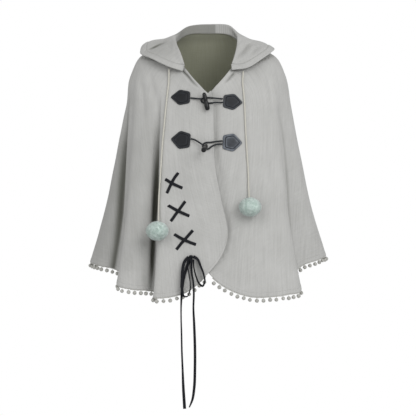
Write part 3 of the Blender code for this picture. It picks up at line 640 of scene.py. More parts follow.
@dataclass(frozen=True)
class CapeForm:
    """The folded bell that the cape's panels follow, and what lies on them."""

    fold_growth: float = 1.25
    overlap_lift: float = 5.0 * MM
    underlap_drop: float = 2.0 * MM
    lapel_lift: float = 6.0 * MM
    lapel_level: float = 0.055
    lapel_bearings: tuple[float, float, float, float] = (4, 14, 34, 46)
    over_lap: tuple[float, float] = (-90 * MM, -30 * MM)
    under_lap: tuple[float, float] = (60 * MM, 100 * MM)
    neck_blend: float = 0.15
    seam_bearing: float = 97.0
    corner_level: float = 0.70
    swell: float = 0.9 * MM
    swell_wave: float = 130 * MM

    def bell(self, bearing: Array, level: Array) -> Array:
        """The cape without folds: an oval ring at each level, lower in front than at the sides.

        Args:
            bearing: degrees round the wearer.
            level: share of the way from neckline to hem.

        Returns:
            Points: half_width * sin(bearing) across, depth * cos(bearing) back, and a drop between
            the side's and the front's or back's height.
        """
        knots = column(LEVELS, "level")
        size = {name: smooth(level, knots, column(LEVELS, name)) * MM for name in Level._fields[1:]}
        across = np.sin(np.radians(bearing))
        ahead = np.cos(np.radians(bearing))
        in_front = ahead > 0
        x = size["half_width"] * across
        y = -ahead * np.where(in_front, size["front"], size["back"])
        neck = np.where(in_front, (1 - np.abs(across)) ** 0.565, 1 - across**4)
        share = neck + (ahead**2 - neck) * np.clip(level / self.neck_blend, 0, 1)
        end_z = np.where(in_front, size["front_z"], size["back_z"])
        z = size["side_z"] + (end_z - size["side_z"]) * share
        return np.stack([x, y, z], axis=-1)

    def fold_rows(self) -> tuple[Array, Array]:
        """The folds as knots for a smooth curve, with a few repeated past each end so that it closes.

        Returns:
            Their bearings, and for each its shift from the bell at the hem and the level where it starts.
        """
        bearing = column(FOLDS, "bearing")
        hem = np.stack([column(FOLDS, n) for n in ("hem_x", "hem_y", "hem_z")], axis=-1) * MM
        shift = hem - self.bell(bearing, np.ones(len(FOLDS)))
        rows = np.hstack([shift, column(FOLDS, "start")[:, None]])
        knots = np.concatenate([bearing[-4:-1] - 360, bearing, bearing[1:4] + 360])
        return knots, np.concatenate([rows[-4:-1], rows, rows[1:4]])

    def surface(self, bearing: Any, level: Any) -> Array:
        """Points of the folded cape: the bell, moved by the folds' shifts as they grow toward the hem.

        Args:
            bearing: degrees round the wearer.
            level: share of the way from neckline to hem.

        Returns:
            One point for each bearing and level.
        """
        bearing, level = np.broadcast_arrays(np.asarray(bearing, float), np.asarray(level, float))
        rows = smooth(bearing, *self.fold_rows())
        begin = rows[..., 3]
        growth = np.clip((level - begin) / (1 - begin), 0, 1) ** self.fold_growth
        return self.bell(bearing, level) + rows[..., :3] * growth[..., None]

    def normal(self, bearing: Array, level: Array) -> Array:
        """The folded cape's outward directions.

        Args:
            bearing: degrees round the wearer.
            level: share of the way from neckline to hem.

        Returns:
            The unit cross product of the ways across and down.
        """
        level = np.clip(level, 0.004, 0.996)
        across = self.surface(bearing - 0.3, level) - self.surface(bearing + 0.3, level)
        down = self.surface(bearing, level + 0.004) - self.surface(bearing, level - 0.004)
        return unit(np.cross(across, down))

    def creased(self, panel: Panel, points: Array) -> Array:
        """How far a panel's small creases and swell move its points out.

        Args:
            panel: whose creases.
            points: places on the cape.

        Returns:
            The sum of bell curves across each crease's line, as deep as its places say, plus a ripple.
        """
        total = self.swell * ripple(points, self.swell_wave, panel.value + 5)
        return total + crease_depth(CREASES[panel], points)

    def on_panel(self, panel: Panel, bearing: Any, level: Any, lift: Any = 0.0) -> Array:
        """Points of one panel, moved out by a lift.

        Args:
            panel: the over front stands out where it laps, the under front lies back there, and both
                turn out along the neck edge.
            bearing: degrees round the wearer.
            level: share of the way from neckline to hem.
            lift: how far out from the cloth.

        Returns:
            One point for each bearing and level.
        """
        bearing, level = np.broadcast_arrays(np.asarray(bearing, float), np.asarray(level, float))
        points = self.surface(bearing, level)
        x = points[..., 0]
        lift = np.asarray(lift, float) + np.zeros_like(x)
        if panel is not Panel.PLAIN:
            lift = lift + self.creased(panel, points)
        if panel is Panel.OVER:
            lift = lift + self.overlap_lift * rise(x, *self.over_lap)
        if panel is Panel.UNDER:
            lift = lift - self.underlap_drop * (1 - rise(x, *self.under_lap))
        if panel in (Panel.OVER, Panel.UNDER):
            wide = np.abs(bearing)
            turned = np.exp(-((level / self.lapel_level) ** 2))
            begin = rise(wide, *self.lapel_bearings[:2])
            end = 1 - rise(wide, *self.lapel_bearings[2:])
            lift = lift + self.lapel_lift * turned * begin * end
        return points + self.normal(bearing, level) * lift[..., None]

    def seen_at(self, panel: Panel, x: Any, z: Any, lift: Any) -> tuple[Array, Array]:
        """The points of a front that show at x and z, found by Newton's method.

        Args:
            panel: the front.
            x: places across.
            z: heights.
            lift: how far out from the cloth.

        Returns:
            The points and the cloth's outward directions there.
        """
        x = np.asarray(x, float)
        z = np.asarray(z, float)
        bearing = np.degrees(np.arcsin(np.clip(x / 0.25, -0.9, 0.9)))
        level = np.clip((-z - 0.15) / 0.56, 0.02, 0.98)
        for _ in range(30):
            here = self.on_panel(panel, bearing, level, lift)
            turn = (self.on_panel(panel, bearing + 0.2, level, lift) - here) / 0.2
            drop = (self.on_panel(panel, bearing, level + 0.002, lift) - here) / 0.002
            miss_x = x - here[..., 0]
            miss_z = z - here[..., 2]
            det = turn[..., 0] * drop[..., 2] - turn[..., 2] * drop[..., 0]
            turn_by = (miss_x * drop[..., 2] - miss_z * drop[..., 0]) / det
            drop_by = (turn[..., 0] * miss_z - turn[..., 2] * miss_x) / det
            bearing = bearing + np.clip(turn_by, -6, 6)
            level = np.clip(level + np.clip(drop_by, -0.1, 0.1), 0, 1)
        return self.on_panel(panel, bearing, level, lift), self.normal(bearing, level)

    def edge_bearing(self, panel: Panel, level: Any) -> Array:
        """The bearing of a front's free edge: its sine is the edge's place across over the half width.

        Args:
            panel: the front.
            level: share of the way from neckline to hem.

        Returns:
            One bearing for each level.
        """
        name = "over" if panel is Panel.OVER else "under"
        across = smooth(level, column(EDGES, "level"), column(EDGES, name))
        width = smooth(level, column(LEVELS, "level"), column(LEVELS, "half_width"))
        return np.degrees(np.arcsin(across / width))

    def front_bearing(self, panel: Panel, share: Array, level: Array) -> Array:
        """The bearing at a share of the way from a front's free edge to its side seam."""
        edge = self.edge_bearing(panel, level)
        return edge + (panel.value * self.seam_bearing - edge) * share

    def hem_level(self, panel: Panel, share: Array) -> Array:
        """The level of a front's lower edge, which rises round its corner in a quarter oval.

        Args:
            panel: the front.
            share: shares of the way from its free edge to its side seam.

        Returns:
            One level for each share.
        """
        width = LEVELS[-1].half_width * MM
        x = width * np.sin(np.radians(self.front_bearing(panel, share, np.ones_like(share))))
        edge = width * math.sin(math.radians(float(self.edge_bearing(panel, 1.0))))
        t = np.clip((x - CORNER_START[panel]) / (edge - CORNER_START[panel]), 0, 1)
        return self.corner_level + (1 - self.corner_level) * np.sqrt(1 - t**2)

    def corner_share(self, panel: Panel) -> float:
        """The share of a front at which its rounded corner begins.

        Args:
            panel: the front.

        Returns:
            The share of the way from its free edge to its side seam.
        """
        edge = float(self.edge_bearing(panel, 1.0))
        start = math.degrees(math.asin(CORNER_START[panel] / (LEVELS[-1].half_width * MM)))
        return (start - edge) / (panel.value * self.seam_bearing - edge)

    def off_front(self, table: Sequence[Bow]) -> Array:
        """Places held off the over front by their lifts, and straight below where the cloth ends.

        Args:
            table: the places.

        Returns:
            One point for each place.
        """
        x, z, lift = (column(table, name) * MM for name in ("x", "z", "lift"))
        touch, _ = self.seen_at(Panel.OVER, x, np.maximum(z, LOWEST_REST), 0.0)
        return np.stack([x, touch[:, 1] - lift, z], axis=-1)


FORM = CapeForm()


@dataclass
class MeshData:
    """A mesh as whole arrays: vertices, faces, one UV row a face corner, and numbers a vertex."""

    vertices: Array
    faces: list[list[int]]
    uv: Array | None = None
    marks: dict[str, Array] = field(default_factory=dict)
    slots: Array | None = None


def join(parts: Sequence[MeshData]) -> MeshData:
    """Several meshes as one, with the marks that they share.

    Args:
        parts: the meshes.

    Returns:
        One mesh, without UVs.
    """
    starts = np.cumsum([0] + [len(part.vertices) for part in parts]).tolist()
    faces = [[k + start for k in face] for part, start in zip(parts, starts) for face in part.faces]
    marks = {name: np.concatenate([part.marks[name] for part in parts]) for name in parts[0].marks}
    return MeshData(np.concatenate([part.vertices for part in parts]), faces, marks=marks)


def put(name: str, data: MeshData, finishes: Sequence[bpy.types.Material]) -> bpy.types.Object:
    """Puts a mesh into the scene at the origin, smooth, with its finishes.

    Args:
        name: the piece's name.
        data: its arrays.
        finishes: its materials, by slot.

    Returns:
        The object.
    """
    mesh = bpy.data.meshes.new(name)
    mesh.from_pydata(data.vertices.tolist(), [], data.faces)
    if data.uv is not None:
        mesh.uv_layers.new(name="cloth").data.foreach_set("uv", data.uv.astype(np.float32).ravel())
    for mark, values in data.marks.items():
        mesh.attributes.new(mark, "FLOAT", "POINT").data.foreach_set("value", values.astype(np.float32))
    for finish in finishes:
        mesh.materials.append(finish)
    if data.slots is not None:
        mesh.polygons.foreach_set("material_index", data.slots.astype(np.int32))
    mesh.polygons.foreach_set("use_smooth", np.ones(len(mesh.polygons), bool))
    mesh.update()
    made = bpy.data.objects.new(name, mesh)
    bpy.context.scene.collection.objects.link(made)
    return made


def dress(piece: bpy.types.Object, node: str) -> bpy.types.Object:
    """Makes a piece ride on the cape and stand for a solid, whose own mesh is hidden.

    Args:
        piece: the new object.
        node: the solid that it stands for.

    Returns:
        The same object.
    """
    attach(piece, BODY)
    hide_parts(node)
    LOG.info("%s: %d faces, for %s", piece.name, len(piece.data.polygons), node)
    return piece


def grid_quads(rows: int, columns: int, wrap: bool = False) -> Array:
    """The corners of a grid's quads, each from its upper left corner round.

    Args:
        rows: rows of points.
        columns: points in a row.
        wrap: whether the last column joins the first.

    Returns:
        Four point numbers for each quad.
    """
    number = np.arange(rows * columns).reshape(rows, columns)
    if wrap:
        number = np.concatenate([number, number[:, :1]], axis=1)
    corners = (number[:-1, :-1], number[:-1, 1:], number[1:, 1:], number[1:, :-1])
    return np.stack(corners, axis=-1).reshape(-1, 4)


def grid_normals(points: Array) -> Array:
    """The unit cross product of a grid's ways across and down."""
    return unit(np.cross(np.gradient(points, axis=1), np.gradient(points, axis=0)))


def shell(points: Array, outer: Array, inner: Array, uv: Array, marks: dict[str, Array]) -> MeshData:
    """A sheet of cloth as a closed wall with half-round edges.

    The outer face is the grid moved out along its normals, the inner face is the grid moved in, and
    a middle line that stands about half the wall's thickness beyond the grid's border rounds the edge.

    Args:
        points: the grid.
        outer: how far out the outer face stands at each point.
        inner: how far in the inner face lies at each point.
        uv: the flat cloth's coordinates at each point.
        marks: named numbers at each point.

    Returns:
        The wall. Slot 0 is the outer face and the edge, slot 1 the inner face.
    """
    rows, columns = points.shape[:2]
    normals = grid_normals(points)
    front = points + normals * outer[..., None]
    back = points - normals * inner[..., None]
    number = np.arange(rows * columns).reshape(rows, columns)
    border = np.concatenate([number[0, :-1], number[:-1, -1], number[-1, :0:-1], number[:0:-1, 0]])
    inside = np.pad(number[1:-1, 1:-1], 1, mode="edge").ravel()[border]
    flat = points.reshape(-1, 3)
    outward = unit(flat[border] - flat[inside])
    half = ((outer + inner) / 2).ravel()[border]
    middle = (front.reshape(-1, 3)[border] + back.reshape(-1, 3)[border]) / 2
    middle = middle + outward * half[:, None] * EDGE_ROUND
    vertices = np.concatenate([front.reshape(-1, 3), back.reshape(-1, 3), middle])
    count = rows * columns
    quads = grid_quads(rows, columns)
    ring = np.arange(len(border))
    after = np.roll(ring, -1)
    here = 2 * count + ring
    ahead = 2 * count + after
    edge_out = np.stack([border[after], border[ring], here, ahead], axis=-1)
    edge_in = np.stack([ahead, here, count + border[ring], count + border[after]], axis=-1)
    faces = np.concatenate([quads, quads[:, ::-1] + count, edge_out, edge_in])
    slots = np.zeros(len(faces), int)
    slots[len(quads) : 2 * len(quads)] = 1
    source = np.concatenate([np.arange(count), np.arange(count), border])
    return MeshData(
        vertices,
        faces.tolist(),
        uv.reshape(-1, 2)[source][faces.ravel()],
        {name: values.ravel()[source] for name, values in marks.items()},
        slots,
    )


def sweep(line: Array, across: Array, face: Array, profile: Array, marks: dict[str, Array]) -> MeshData:
    """Carries a closed profile along a line.

    Ring i, place j is line[i] + across[i] * profile[i, j, 0] + face[i] * profile[i, j, 1], and
    the ends are capped.

    Args:
        line: the line's points.
        across: the profile's first axis at each point.
        face: its second axis.
        profile: the profile at each point, anticlockwise, as (points, places, 2).
        marks: named numbers at each point and place.

    Returns:
        The closed mesh, with u round the profile and v along the line, both in metres.
    """
    rings, places = profile.shape[:2]
    points = line[:, None] + across[:, None] * profile[..., :1] + face[:, None] * profile[..., 1:]
    ahead = np.gradient(line, axis=0)
    turned = np.sum(np.cross(across, face) * ahead) < 0
    quads = grid_quads(rings, places, wrap=True)
    round_way = np.linspace(0, 1, places + 1) * run_length(profile[rings // 2], 0)[-1]
    u, v = np.meshgrid(round_way, run_length(line, 0))
    flat = np.stack([u, v], axis=-1)
    corners = np.stack([flat[:-1, :-1], flat[:-1, 1:], flat[1:, 1:], flat[1:, :-1]], axis=2)
    corners = corners.reshape(-1, 4, 2)
    first = np.arange(places)[::-1]
    last = np.arange(places) + (rings - 1) * places
    caps = [first, last]
    if turned:
        quads = quads[:, ::-1]
        corners = corners[:, ::-1]
        caps = [cap[::-1] for cap in caps]
    plain = flat[:, :-1].reshape(-1, 2)
    uv = np.concatenate([corners.reshape(-1, 2), plain[caps[0]], plain[caps[1]]])
    faces = quads.tolist() + [cap.tolist() for cap in caps]
    rows = {name: values.ravel() for name, values in marks.items()}
    return MeshData(points.reshape(-1, 3), faces, uv, rows)


def even_line(places: Array, pitch: float) -> tuple[Array, Array, Array]:
    """A smooth line through places, read at an even pitch.

    Args:
        places: the places.
        pitch: the distance between the line's points.

    Returns:
        The line's points, their distances along the places, and the distances of the places.
    """
    knots = run_length(places, 0)
    at = np.linspace(0, knots[-1], max(8, int(knots[-1] / pitch)))
    return smooth(at, knots, places), at, knots


def spikes(roots: Array, tips: Array, width: Array) -> MeshData:
    """Short tapered fibres: three-sided spikes from their roots to their tips.

    Args:
        roots: where they start.
        tips: where they end.
        width: half of each one's width at its root.

    Returns:
        The fibres, with the mark tip at 0 on the roots and 1 on the tips.
    """
    way = unit(tips - roots)
    side = unit(np.cross(way, np.array([0.37, 0.61, 0.70])))
    other = np.cross(way, side)
    turn = np.arange(3) * 2 * math.pi / 3
    ring = side[:, None] * np.cos(turn)[None, :, None] + other[:, None] * np.sin(turn)[None, :, None]
    base = roots[:, None] + ring * width[:, None, None]
    vertices = np.concatenate([base, tips[:, None]], axis=1).reshape(-1, 3)
    start = np.arange(len(roots))[:, None, None] * 4
    faces = (start + np.array([[0, 1, 3], [1, 2, 3], [2, 0, 3]])).reshape(-1, 3)
    mark = np.tile([0.0, 0.0, 0.0, 1.0], len(roots))
    return MeshData(vertices, faces.tolist(), marks={"tip": mark})


def balls(centres: Array, radius: Array, rings: int, sides: int, roughness: float) -> MeshData:
    """Round lumps of yarn: spheres of rings between two poles, swollen unevenly.

    Args:
        centres: their middles.
        radius: each one's radius.
        rings: rings between the poles.
        sides: places in a ring.
        roughness: the swelling, as a share of the radius.

    Returns:
        The lumps, with the mark tip at 0.4.
    """
    height = np.pi * (np.arange(rings) + 1) / (rings + 1)
    turn = 2 * np.pi * np.arange(sides) / sides
    ring_x = np.sin(height)[:, None] * np.cos(turn)
    ring_y = np.sin(height)[:, None] * np.sin(turn)
    ring_z = np.cos(height)[:, None] * np.ones(sides)
    middle = np.stack([ring_x, ring_y, ring_z], axis=-1).reshape(-1, 3)
    template = np.concatenate([[[0, 0, 1.0]], middle, [[0, 0, -1.0]]])
    shape = centres[:, None] + template[None] * radius[:, None, None]
    swell = 1 + roughness * ripple(shape, 5 * MM, 3)
    vertices = centres[:, None] + template[None] * (radius[:, None] * swell)[..., None]
    ring = np.arange(sides)
    top = np.stack([np.zeros(sides, int), 1 + ring, 1 + np.roll(ring, -1)], axis=-1)
    last = 1 + (rings - 1) * sides
    foot = np.stack([last + np.roll(ring, -1), last + ring, np.full(sides, last + sides)], axis=-1)
    quads = grid_quads(rings, sides, wrap=True)[:, ::-1] + 1
    size = len(template)
    start = np.arange(len(centres))[:, None, None] * size
    faces = (start + quads).reshape(-1, 4).tolist()
    faces += (start + np.concatenate([top, foot])).reshape(-1, 3).tolist()
    flat = vertices.reshape(-1, 3)
    return MeshData(flat, faces, marks={"tip": np.full(len(flat), 0.4)})


def linear(code: str) -> tuple[float, float, float, float]:
    """A colour in linear light.

    Args:
        code: the colour as sRGB hex, after a hash.

    Returns:
        Red, green, blue and a full alpha.
    """
    shares = [int(code[k : k + 2], 16) / 255 for k in (1, 3, 5)]
    red, green, blue = (s / 12.92 if s <= 0.04045 else ((s + 0.055) / 1.055) ** 2.4 for s in shares)
    return red, green, blue, 1.0


def add_node(
    tree: bpy.types.NodeTree, kind: str, inputs: dict[Any, Any], **settings: Any
) -> bpy.types.Node:
    """Adds a node with its settings, values and links.

    Args:
        tree: the material's tree.
        kind: the node's type.
        inputs: a value, or a socket to link from, for each input by name or number.
        settings: the node's own settings.

    Returns:
        The node.
    """
    made = tree.nodes.new(kind)
    for name, value in settings.items():
        setattr(made, name, value)
    for key, value in inputs.items():
        if isinstance(value, bpy.types.NodeSocket):
            tree.links.new(value, made.inputs[key])
        else:
            made.inputs[key].default_value = value
    return made


def new_material(
    name: str, **values: Any
) -> tuple[bpy.types.Material, bpy.types.NodeTree, bpy.types.Node]:
    """A material with values on its shader's own sockets.

    Args:
        name: the real material's name.
        values: the shader's sockets, with underscores for spaces.

    Returns:
        The material, its tree and its shader.
    """
    made = bpy.data.materials.new(name)
    made.use_nodes = True
    shader = made.node_tree.nodes["Principled BSDF"]
    for key, value in values.items():
        shader.inputs[key.replace("_", " ")].default_value = value
    return made, made.node_tree, shader


def weigh(tree: bpy.types.NodeTree, parts: Sequence[tuple[Any, float]], middle: float = 0.5) -> Any:
    """Adds up patterns round a middle: middle + the sum of weight * (pattern - 0.5).

    Args:
        tree: the material's tree.
        parts: each pattern's socket and weight.
        middle: the sum's middle.

    Returns:
        The sum's socket.
    """
    total: Any = middle - 0.5 * sum(weight for _, weight in parts)
    for socket, weight in parts:
        terms = {0: socket, 1: weight, 2: total}
        total = add_node(tree, "ShaderNodeMath", terms, operation="MULTIPLY_ADD").outputs[0]
    return total


@dataclass(frozen=True)
class SlubCloth:
    """Slub-woven cotton: matt, with fine ribs down the warp and thick threads that read as streaks."""

    name: str
    light: str
    dark: str
    shade: str = "#4b4c42"
    rib: float = 3.0
    slub: tuple[float, float] = (3.4, 100.0)
    weft: tuple[float, float] = (46.0, 3.4)
    mottle: float = 70.0
    grain: float = 2.2
    stitch: float = 3.6
    stitch_line: float = 10.5
    stitch_half: float = 0.55
    stitch_share: float = 0.68

    def build(self) -> bpy.types.Material:
        """Makes the material. Its ribs are coarser than the real thread, so that they show at all.

        The mark hem is the distance from a hem in millimetres, which places a line of stitches. The mark
        shade dims the cloth where folds keep light out.

        Returns:
            The material.
        """
        made, tree, shader = new_material(
            self.name,
            Roughness=0.92,
            Sheen_Weight=0.12,
            Sheen_Roughness=0.6,
        )
        uv = add_node(tree, "ShaderNodeUVMap", {}, uv_map="cloth").outputs[0]
        place = add_node(tree, "ShaderNodeTexCoord", {}).outputs["Object"]
        patterns = {}
        for name, source, scale, detail in (
            ("slub", uv, (1 / (self.slub[0] * MM), 1 / (self.slub[1] * MM), 1), 3.0),
            ("weft", uv, (1 / (self.weft[0] * MM), 1 / (self.weft[1] * MM), 1), 2.0),
            ("mottle", place, (1 / (self.mottle * MM),) * 3, 2.0),
            ("grain", place, (1 / (self.grain * MM),) * 3, 1.0),
        ):
            spread = add_node(tree, "ShaderNodeMapping", {"Vector": source, "Scale": scale})
            noise = {"Vector": spread.outputs[0], "Scale": 1.0, "Detail": detail, "Roughness": 0.6}
            patterns[name] = add_node(tree, "ShaderNodeTexNoise", noise).outputs[0]
        rows = {
            "Vector": uv,
            "Scale": WAVE_SCALE / (self.rib * MM),
            "Distortion": 1.2,
            "Detail": 1.0,
            "Detail Scale": 0.5,
        }
        rib = add_node(tree, "ShaderNodeTexWave", rows, wave_type="BANDS", bands_direction="X").outputs[1]
        hem = add_node(tree, "ShaderNodeAttribute", {}, attribute_name="hem").outputs["Fac"]
        line = {0: hem, 1: self.stitch_line, 2: self.stitch_half}
        near = add_node(tree, "ShaderNodeMath", line, operation="COMPARE").outputs[0]
        along = add_node(tree, "ShaderNodeSeparateXYZ", {0: uv}).outputs[0]
        step = {0: along, 1: self.stitch * MM}
        count = add_node(tree, "ShaderNodeMath", step, operation="DIVIDE").outputs[0]
        part = add_node(tree, "ShaderNodeMath", {0: count}, operation="FRACT").outputs[0]
        thread = {0: part, 1: self.stitch_share}
        dash = add_node(tree, "ShaderNodeMath", thread, operation="LESS_THAN").outputs[0]
        stitch = add_node(tree, "ShaderNodeMath", {0: near, 1: dash}, operation="MULTIPLY").outputs[0]
        mixed = (
            (patterns["slub"], 1.1),
            (patterns["weft"], 0.5),
            (patterns["mottle"], 0.6),
            (patterns["grain"], 0.4),
            (rib, 0.25),
        )
        tone = {0: stitch, 1: -0.5, 2: weigh(tree, mixed)}
        tone = add_node(tree, "ShaderNodeMath", tone, operation="MULTIPLY_ADD", use_clamp=True).outputs[0]
        colours = {0: tone, 6: linear(self.dark), 7: linear(self.light)}
        colour = add_node(tree, "ShaderNodeMix", colours, data_type="RGBA").outputs[2]
        deep = add_node(tree, "ShaderNodeAttribute", {}, attribute_name="shade").outputs["Fac"]
        colours = {0: deep, 6: colour, 7: linear(self.shade)}
        colour = add_node(tree, "ShaderNodeMix", colours, data_type="RGBA").outputs[2]
        tree.links.new(colour, shader.inputs["Base Color"])
        raised = ((patterns["slub"], 0.7), (patterns["weft"], 0.3), (rib, 0.55), (stitch, 0.8))
        height = weigh(tree, raised)
        bump = {"Strength": 0.5, "Distance": 0.45 * MM, "Height": height}
        tree.links.new(add_node(tree, "ShaderNodeBump", bump).outputs[0], shader.inputs["Normal"])
        return made


@dataclass(frozen=True)
class PlyCord:
    """Twisted cotton cord: matt fibres, with painted shade where the plies meet."""

    name: str
    light: str
    dark: str
    roughness: float = 0.85
    fibre: float = 1.2

    def build(self) -> bpy.types.Material:
        """Makes the material: the mark ply is 1 on a ply's crown and 0 in the groove, which is painted
        darker, as shade.

        Returns:
            The material.
        """
        made, tree, shader = new_material(self.name, Roughness=self.roughness, Specular_IOR_Level=0.2)
        uv = add_node(tree, "ShaderNodeUVMap", {}, uv_map="cloth").outputs[0]
        scale = {"Vector": uv, "Scale": (1 / (self.fibre * MM), 1 / (5 * self.fibre * MM), 1)}
        spread = add_node(tree, "ShaderNodeMapping", scale).outputs[0]
        noise = {"Vector": spread, "Scale": 1.0, "Detail": 2.0}
        fibre = add_node(tree, "ShaderNodeTexNoise", noise).outputs[0]
        ply = add_node(tree, "ShaderNodeAttribute", {}, attribute_name="ply").outputs["Fac"]
        # Painted shade: the grooves between the plies, where the mark ply is low, are darker.
        tone = weigh(tree, ((ply, 0.8), (fibre, 0.9)), 0.6)
        tone = add_node(tree, "ShaderNodeClamp", {0: tone}).outputs[0]
        colours = {0: tone, 6: linear(self.dark), 7: linear(self.light)}
        colour = add_node(tree, "ShaderNodeMix", colours, data_type="RGBA").outputs[2]
        tree.links.new(colour, shader.inputs["Base Color"])
        bump = {"Strength": 0.5, "Distance": 0.3 * MM, "Height": fibre}
        tree.links.new(add_node(tree, "ShaderNodeBump", bump).outputs[0], shader.inputs["Normal"])
        return made


@dataclass(frozen=True)
class PomYarn:
    """Cut yarn: soft and matt, with painted shade that darkens it down between the fibres, so it is paler
    at their tips.
    """

    name: str
    light: str
    dark: str
    clump: float = 7.0

    def build(self) -> bpy.types.Material:
        """Makes the material: the mark tip runs from a fibre's root to its end, and the lower it is, the
        darker the yarn is painted, as shade.

        Returns:
            The material.
        """
        made, tree, shader = new_material(
            self.name,
            Roughness=0.95,
            Sheen_Weight=0.25,
            Sheen_Roughness=0.5,
        )
        place = add_node(tree, "ShaderNodeTexCoord", {}).outputs["Object"]
        noise = {"Vector": place, "Scale": 1 / (self.clump * MM), "Detail": 3.0, "Roughness": 0.7}
        clump = add_node(tree, "ShaderNodeTexNoise", noise).outputs[0]
        tip = add_node(tree, "ShaderNodeAttribute", {}, attribute_name="tip").outputs["Fac"]
        # Painted shade: the lower the mark tip, toward the fibres' roots and on the cores, the darker the
        # yarn.
        tone = weigh(tree, ((tip, 0.8), (clump, 2.2)))
        tone = add_node(tree, "ShaderNodeClamp", {0: tone}).outputs[0]
        colours = {0: tone, 6: linear(self.dark), 7: linear(self.light)}
        colour = add_node(tree, "ShaderNodeMix", colours, data_type="RGBA").outputs[2]
        tree.links.new(colour, shader.inputs["Base Color"])
        bump = {"Strength": 0.6, "Distance": 0.8 * MM, "Height": clump}
        tree.links.new(add_node(tree, "ShaderNodeBump", bump).outputs[0], shader.inputs["Normal"])
        return made


@dataclass(frozen=True)
class PressedLeather:
    """Embossed leather: fine pebbled grain, half matt, paler and smoother where it is rubbed."""

    name: str
    light: str
    dark: str
    worn: str
    grain: float = 1.8
    cloud: float = 9.0

    def build(self) -> bpy.types.Material:
        """Makes the material: the mark wear is 1 where it is fully rubbed.

        The grain is drawn coarser than it is, so that it shows.

        Returns:
            The material.
        """
        made, tree, shader = new_material(self.name, Specular_IOR_Level=0.22)
        place = add_node(tree, "ShaderNodeTexCoord", {}).outputs["Object"]
        grains = {"Vector": place, "Scale": 1 / (self.grain * MM)}
        pebble = add_node(tree, "ShaderNodeTexVoronoi", grains).outputs[0]
        noise = {"Vector": place, "Scale": 1 / (self.cloud * MM), "Detail": 3.0}
        cloud = add_node(tree, "ShaderNodeTexNoise", noise).outputs[0]
        wear = add_node(tree, "ShaderNodeAttribute", {}, attribute_name="wear").outputs["Fac"]
        tone = weigh(tree, ((pebble, 0.5), (cloud, 1.2)))
        tone = add_node(tree, "ShaderNodeClamp", {0: tone}).outputs[0]
        colours = {0: tone, 6: linear(self.dark), 7: linear(self.light)}
        base = add_node(tree, "ShaderNodeMix", colours, data_type="RGBA").outputs[2]
        rub = add_node(tree, "ShaderNodeMath", {0: wear, 1: cloud}, operation="MULTIPLY").outputs[0]
        colours = {0: rub, 6: base, 7: linear(self.worn)}
        colour = add_node(tree, "ShaderNodeMix", colours, data_type="RGBA").outputs[2]
        tree.links.new(colour, shader.inputs["Base Color"])
        gloss = weigh(tree, ((cloud, 0.3), (wear, -0.12)), 0.42)
        tree.links.new(gloss, shader.inputs["Roughness"])
        bump = {"Strength": 0.35, "Distance": 0.3 * MM, "Height": pebble}
        tree.links.new(add_node(tree, "ShaderNodeBump", bump).outputs[0], shader.inputs["Normal"])
        return made


@dataclass(frozen=True)
class PolishedHorn:
    """Polished dark horn: hard gloss over faint lengthwise streaks."""

    name: str
    light: str
    dark: str
    streak: tuple[float, float] = (2.5, 30.0)

    def build(self) -> bpy.types.Material:
        """Makes the material: its streaks follow the toggle's length.

        Returns:
            The material.
        """
        made, tree, shader = new_material(
            self.name,
            Specular_IOR_Level=0.25,
            Coat_Weight=0.15,
            Coat_Roughness=0.12,
        )
        uv = add_node(tree, "ShaderNodeUVMap", {}, uv_map="cloth").outputs[0]
        scale = {"Vector": uv, "Scale": (1 / (self.streak[0] * MM), 1 / (self.streak[1] * MM), 1)}
        spread = add_node(tree, "ShaderNodeMapping", scale).outputs[0]
        noise = {"Vector": spread, "Scale": 1.0, "Detail": 3.0}
        streak = add_node(tree, "ShaderNodeTexNoise", noise).outputs[0]
        colours = {0: streak, 6: linear(self.dark), 7: linear(self.light)}
        colour = add_node(tree, "ShaderNodeMix", colours, data_type="RGBA").outputs[2]
        tree.links.new(colour, shader.inputs["Base Color"])
        tree.links.new(weigh(tree, ((streak, 0.3),), 0.3), shader.inputs["Roughness"])
        bump = {"Strength": 0.15, "Distance": 0.2 * MM, "Height": streak}
        tree.links.new(add_node(tree, "ShaderNodeBump", bump).outputs[0], shader.inputs["Normal"])
        return made


@dataclass(frozen=True)
class GrosgrainLace:
    """Narrow woven lace: nearly matt, with fine ribs across its width and slightly uneven dye."""

    name: str
    light: str
    dark: str
    rib: float = 1.1
    dye: float = 12.0

    def build(self) -> bpy.types.Material:
        """Makes the material: ribs across the lace, and uneven dye along it.

        Returns:
            The material.
        """
        made, tree, shader = new_material(self.name, Roughness=0.65, Specular_IOR_Level=0.15)
        uv = add_node(tree, "ShaderNodeUVMap", {}, uv_map="cloth").outputs[0]
        rows = {"Vector": uv, "Scale": WAVE_SCALE / (self.rib * MM), "Distortion": 0.4}
        rib = add_node(tree, "ShaderNodeTexWave", rows, wave_type="BANDS", bands_direction="Y").outputs[1]
        place = add_node(tree, "ShaderNodeTexCoord", {}).outputs["Object"]
        noise = {"Vector": place, "Scale": 1 / (self.dye * MM), "Detail": 3.0}
        dye = add_node(tree, "ShaderNodeTexNoise", noise).outputs[0]
        tone = weigh(tree, ((rib, 0.12), (dye, 0.88)))
        tone = add_node(tree, "ShaderNodeClamp", {0: tone}).outputs[0]
        colours = {0: tone, 6: linear(self.dark), 7: linear(self.light)}
        colour = add_node(tree, "ShaderNodeMix", colours, data_type="RGBA").outputs[2]
        tree.links.new(colour, shader.inputs["Base Color"])
        bump = {"Strength": 0.1, "Distance": 0.15 * MM, "Height": rib}
        tree.links.new(add_node(tree, "ShaderNodeBump", bump).outputs[0], shader.inputs["Normal"])
        return made


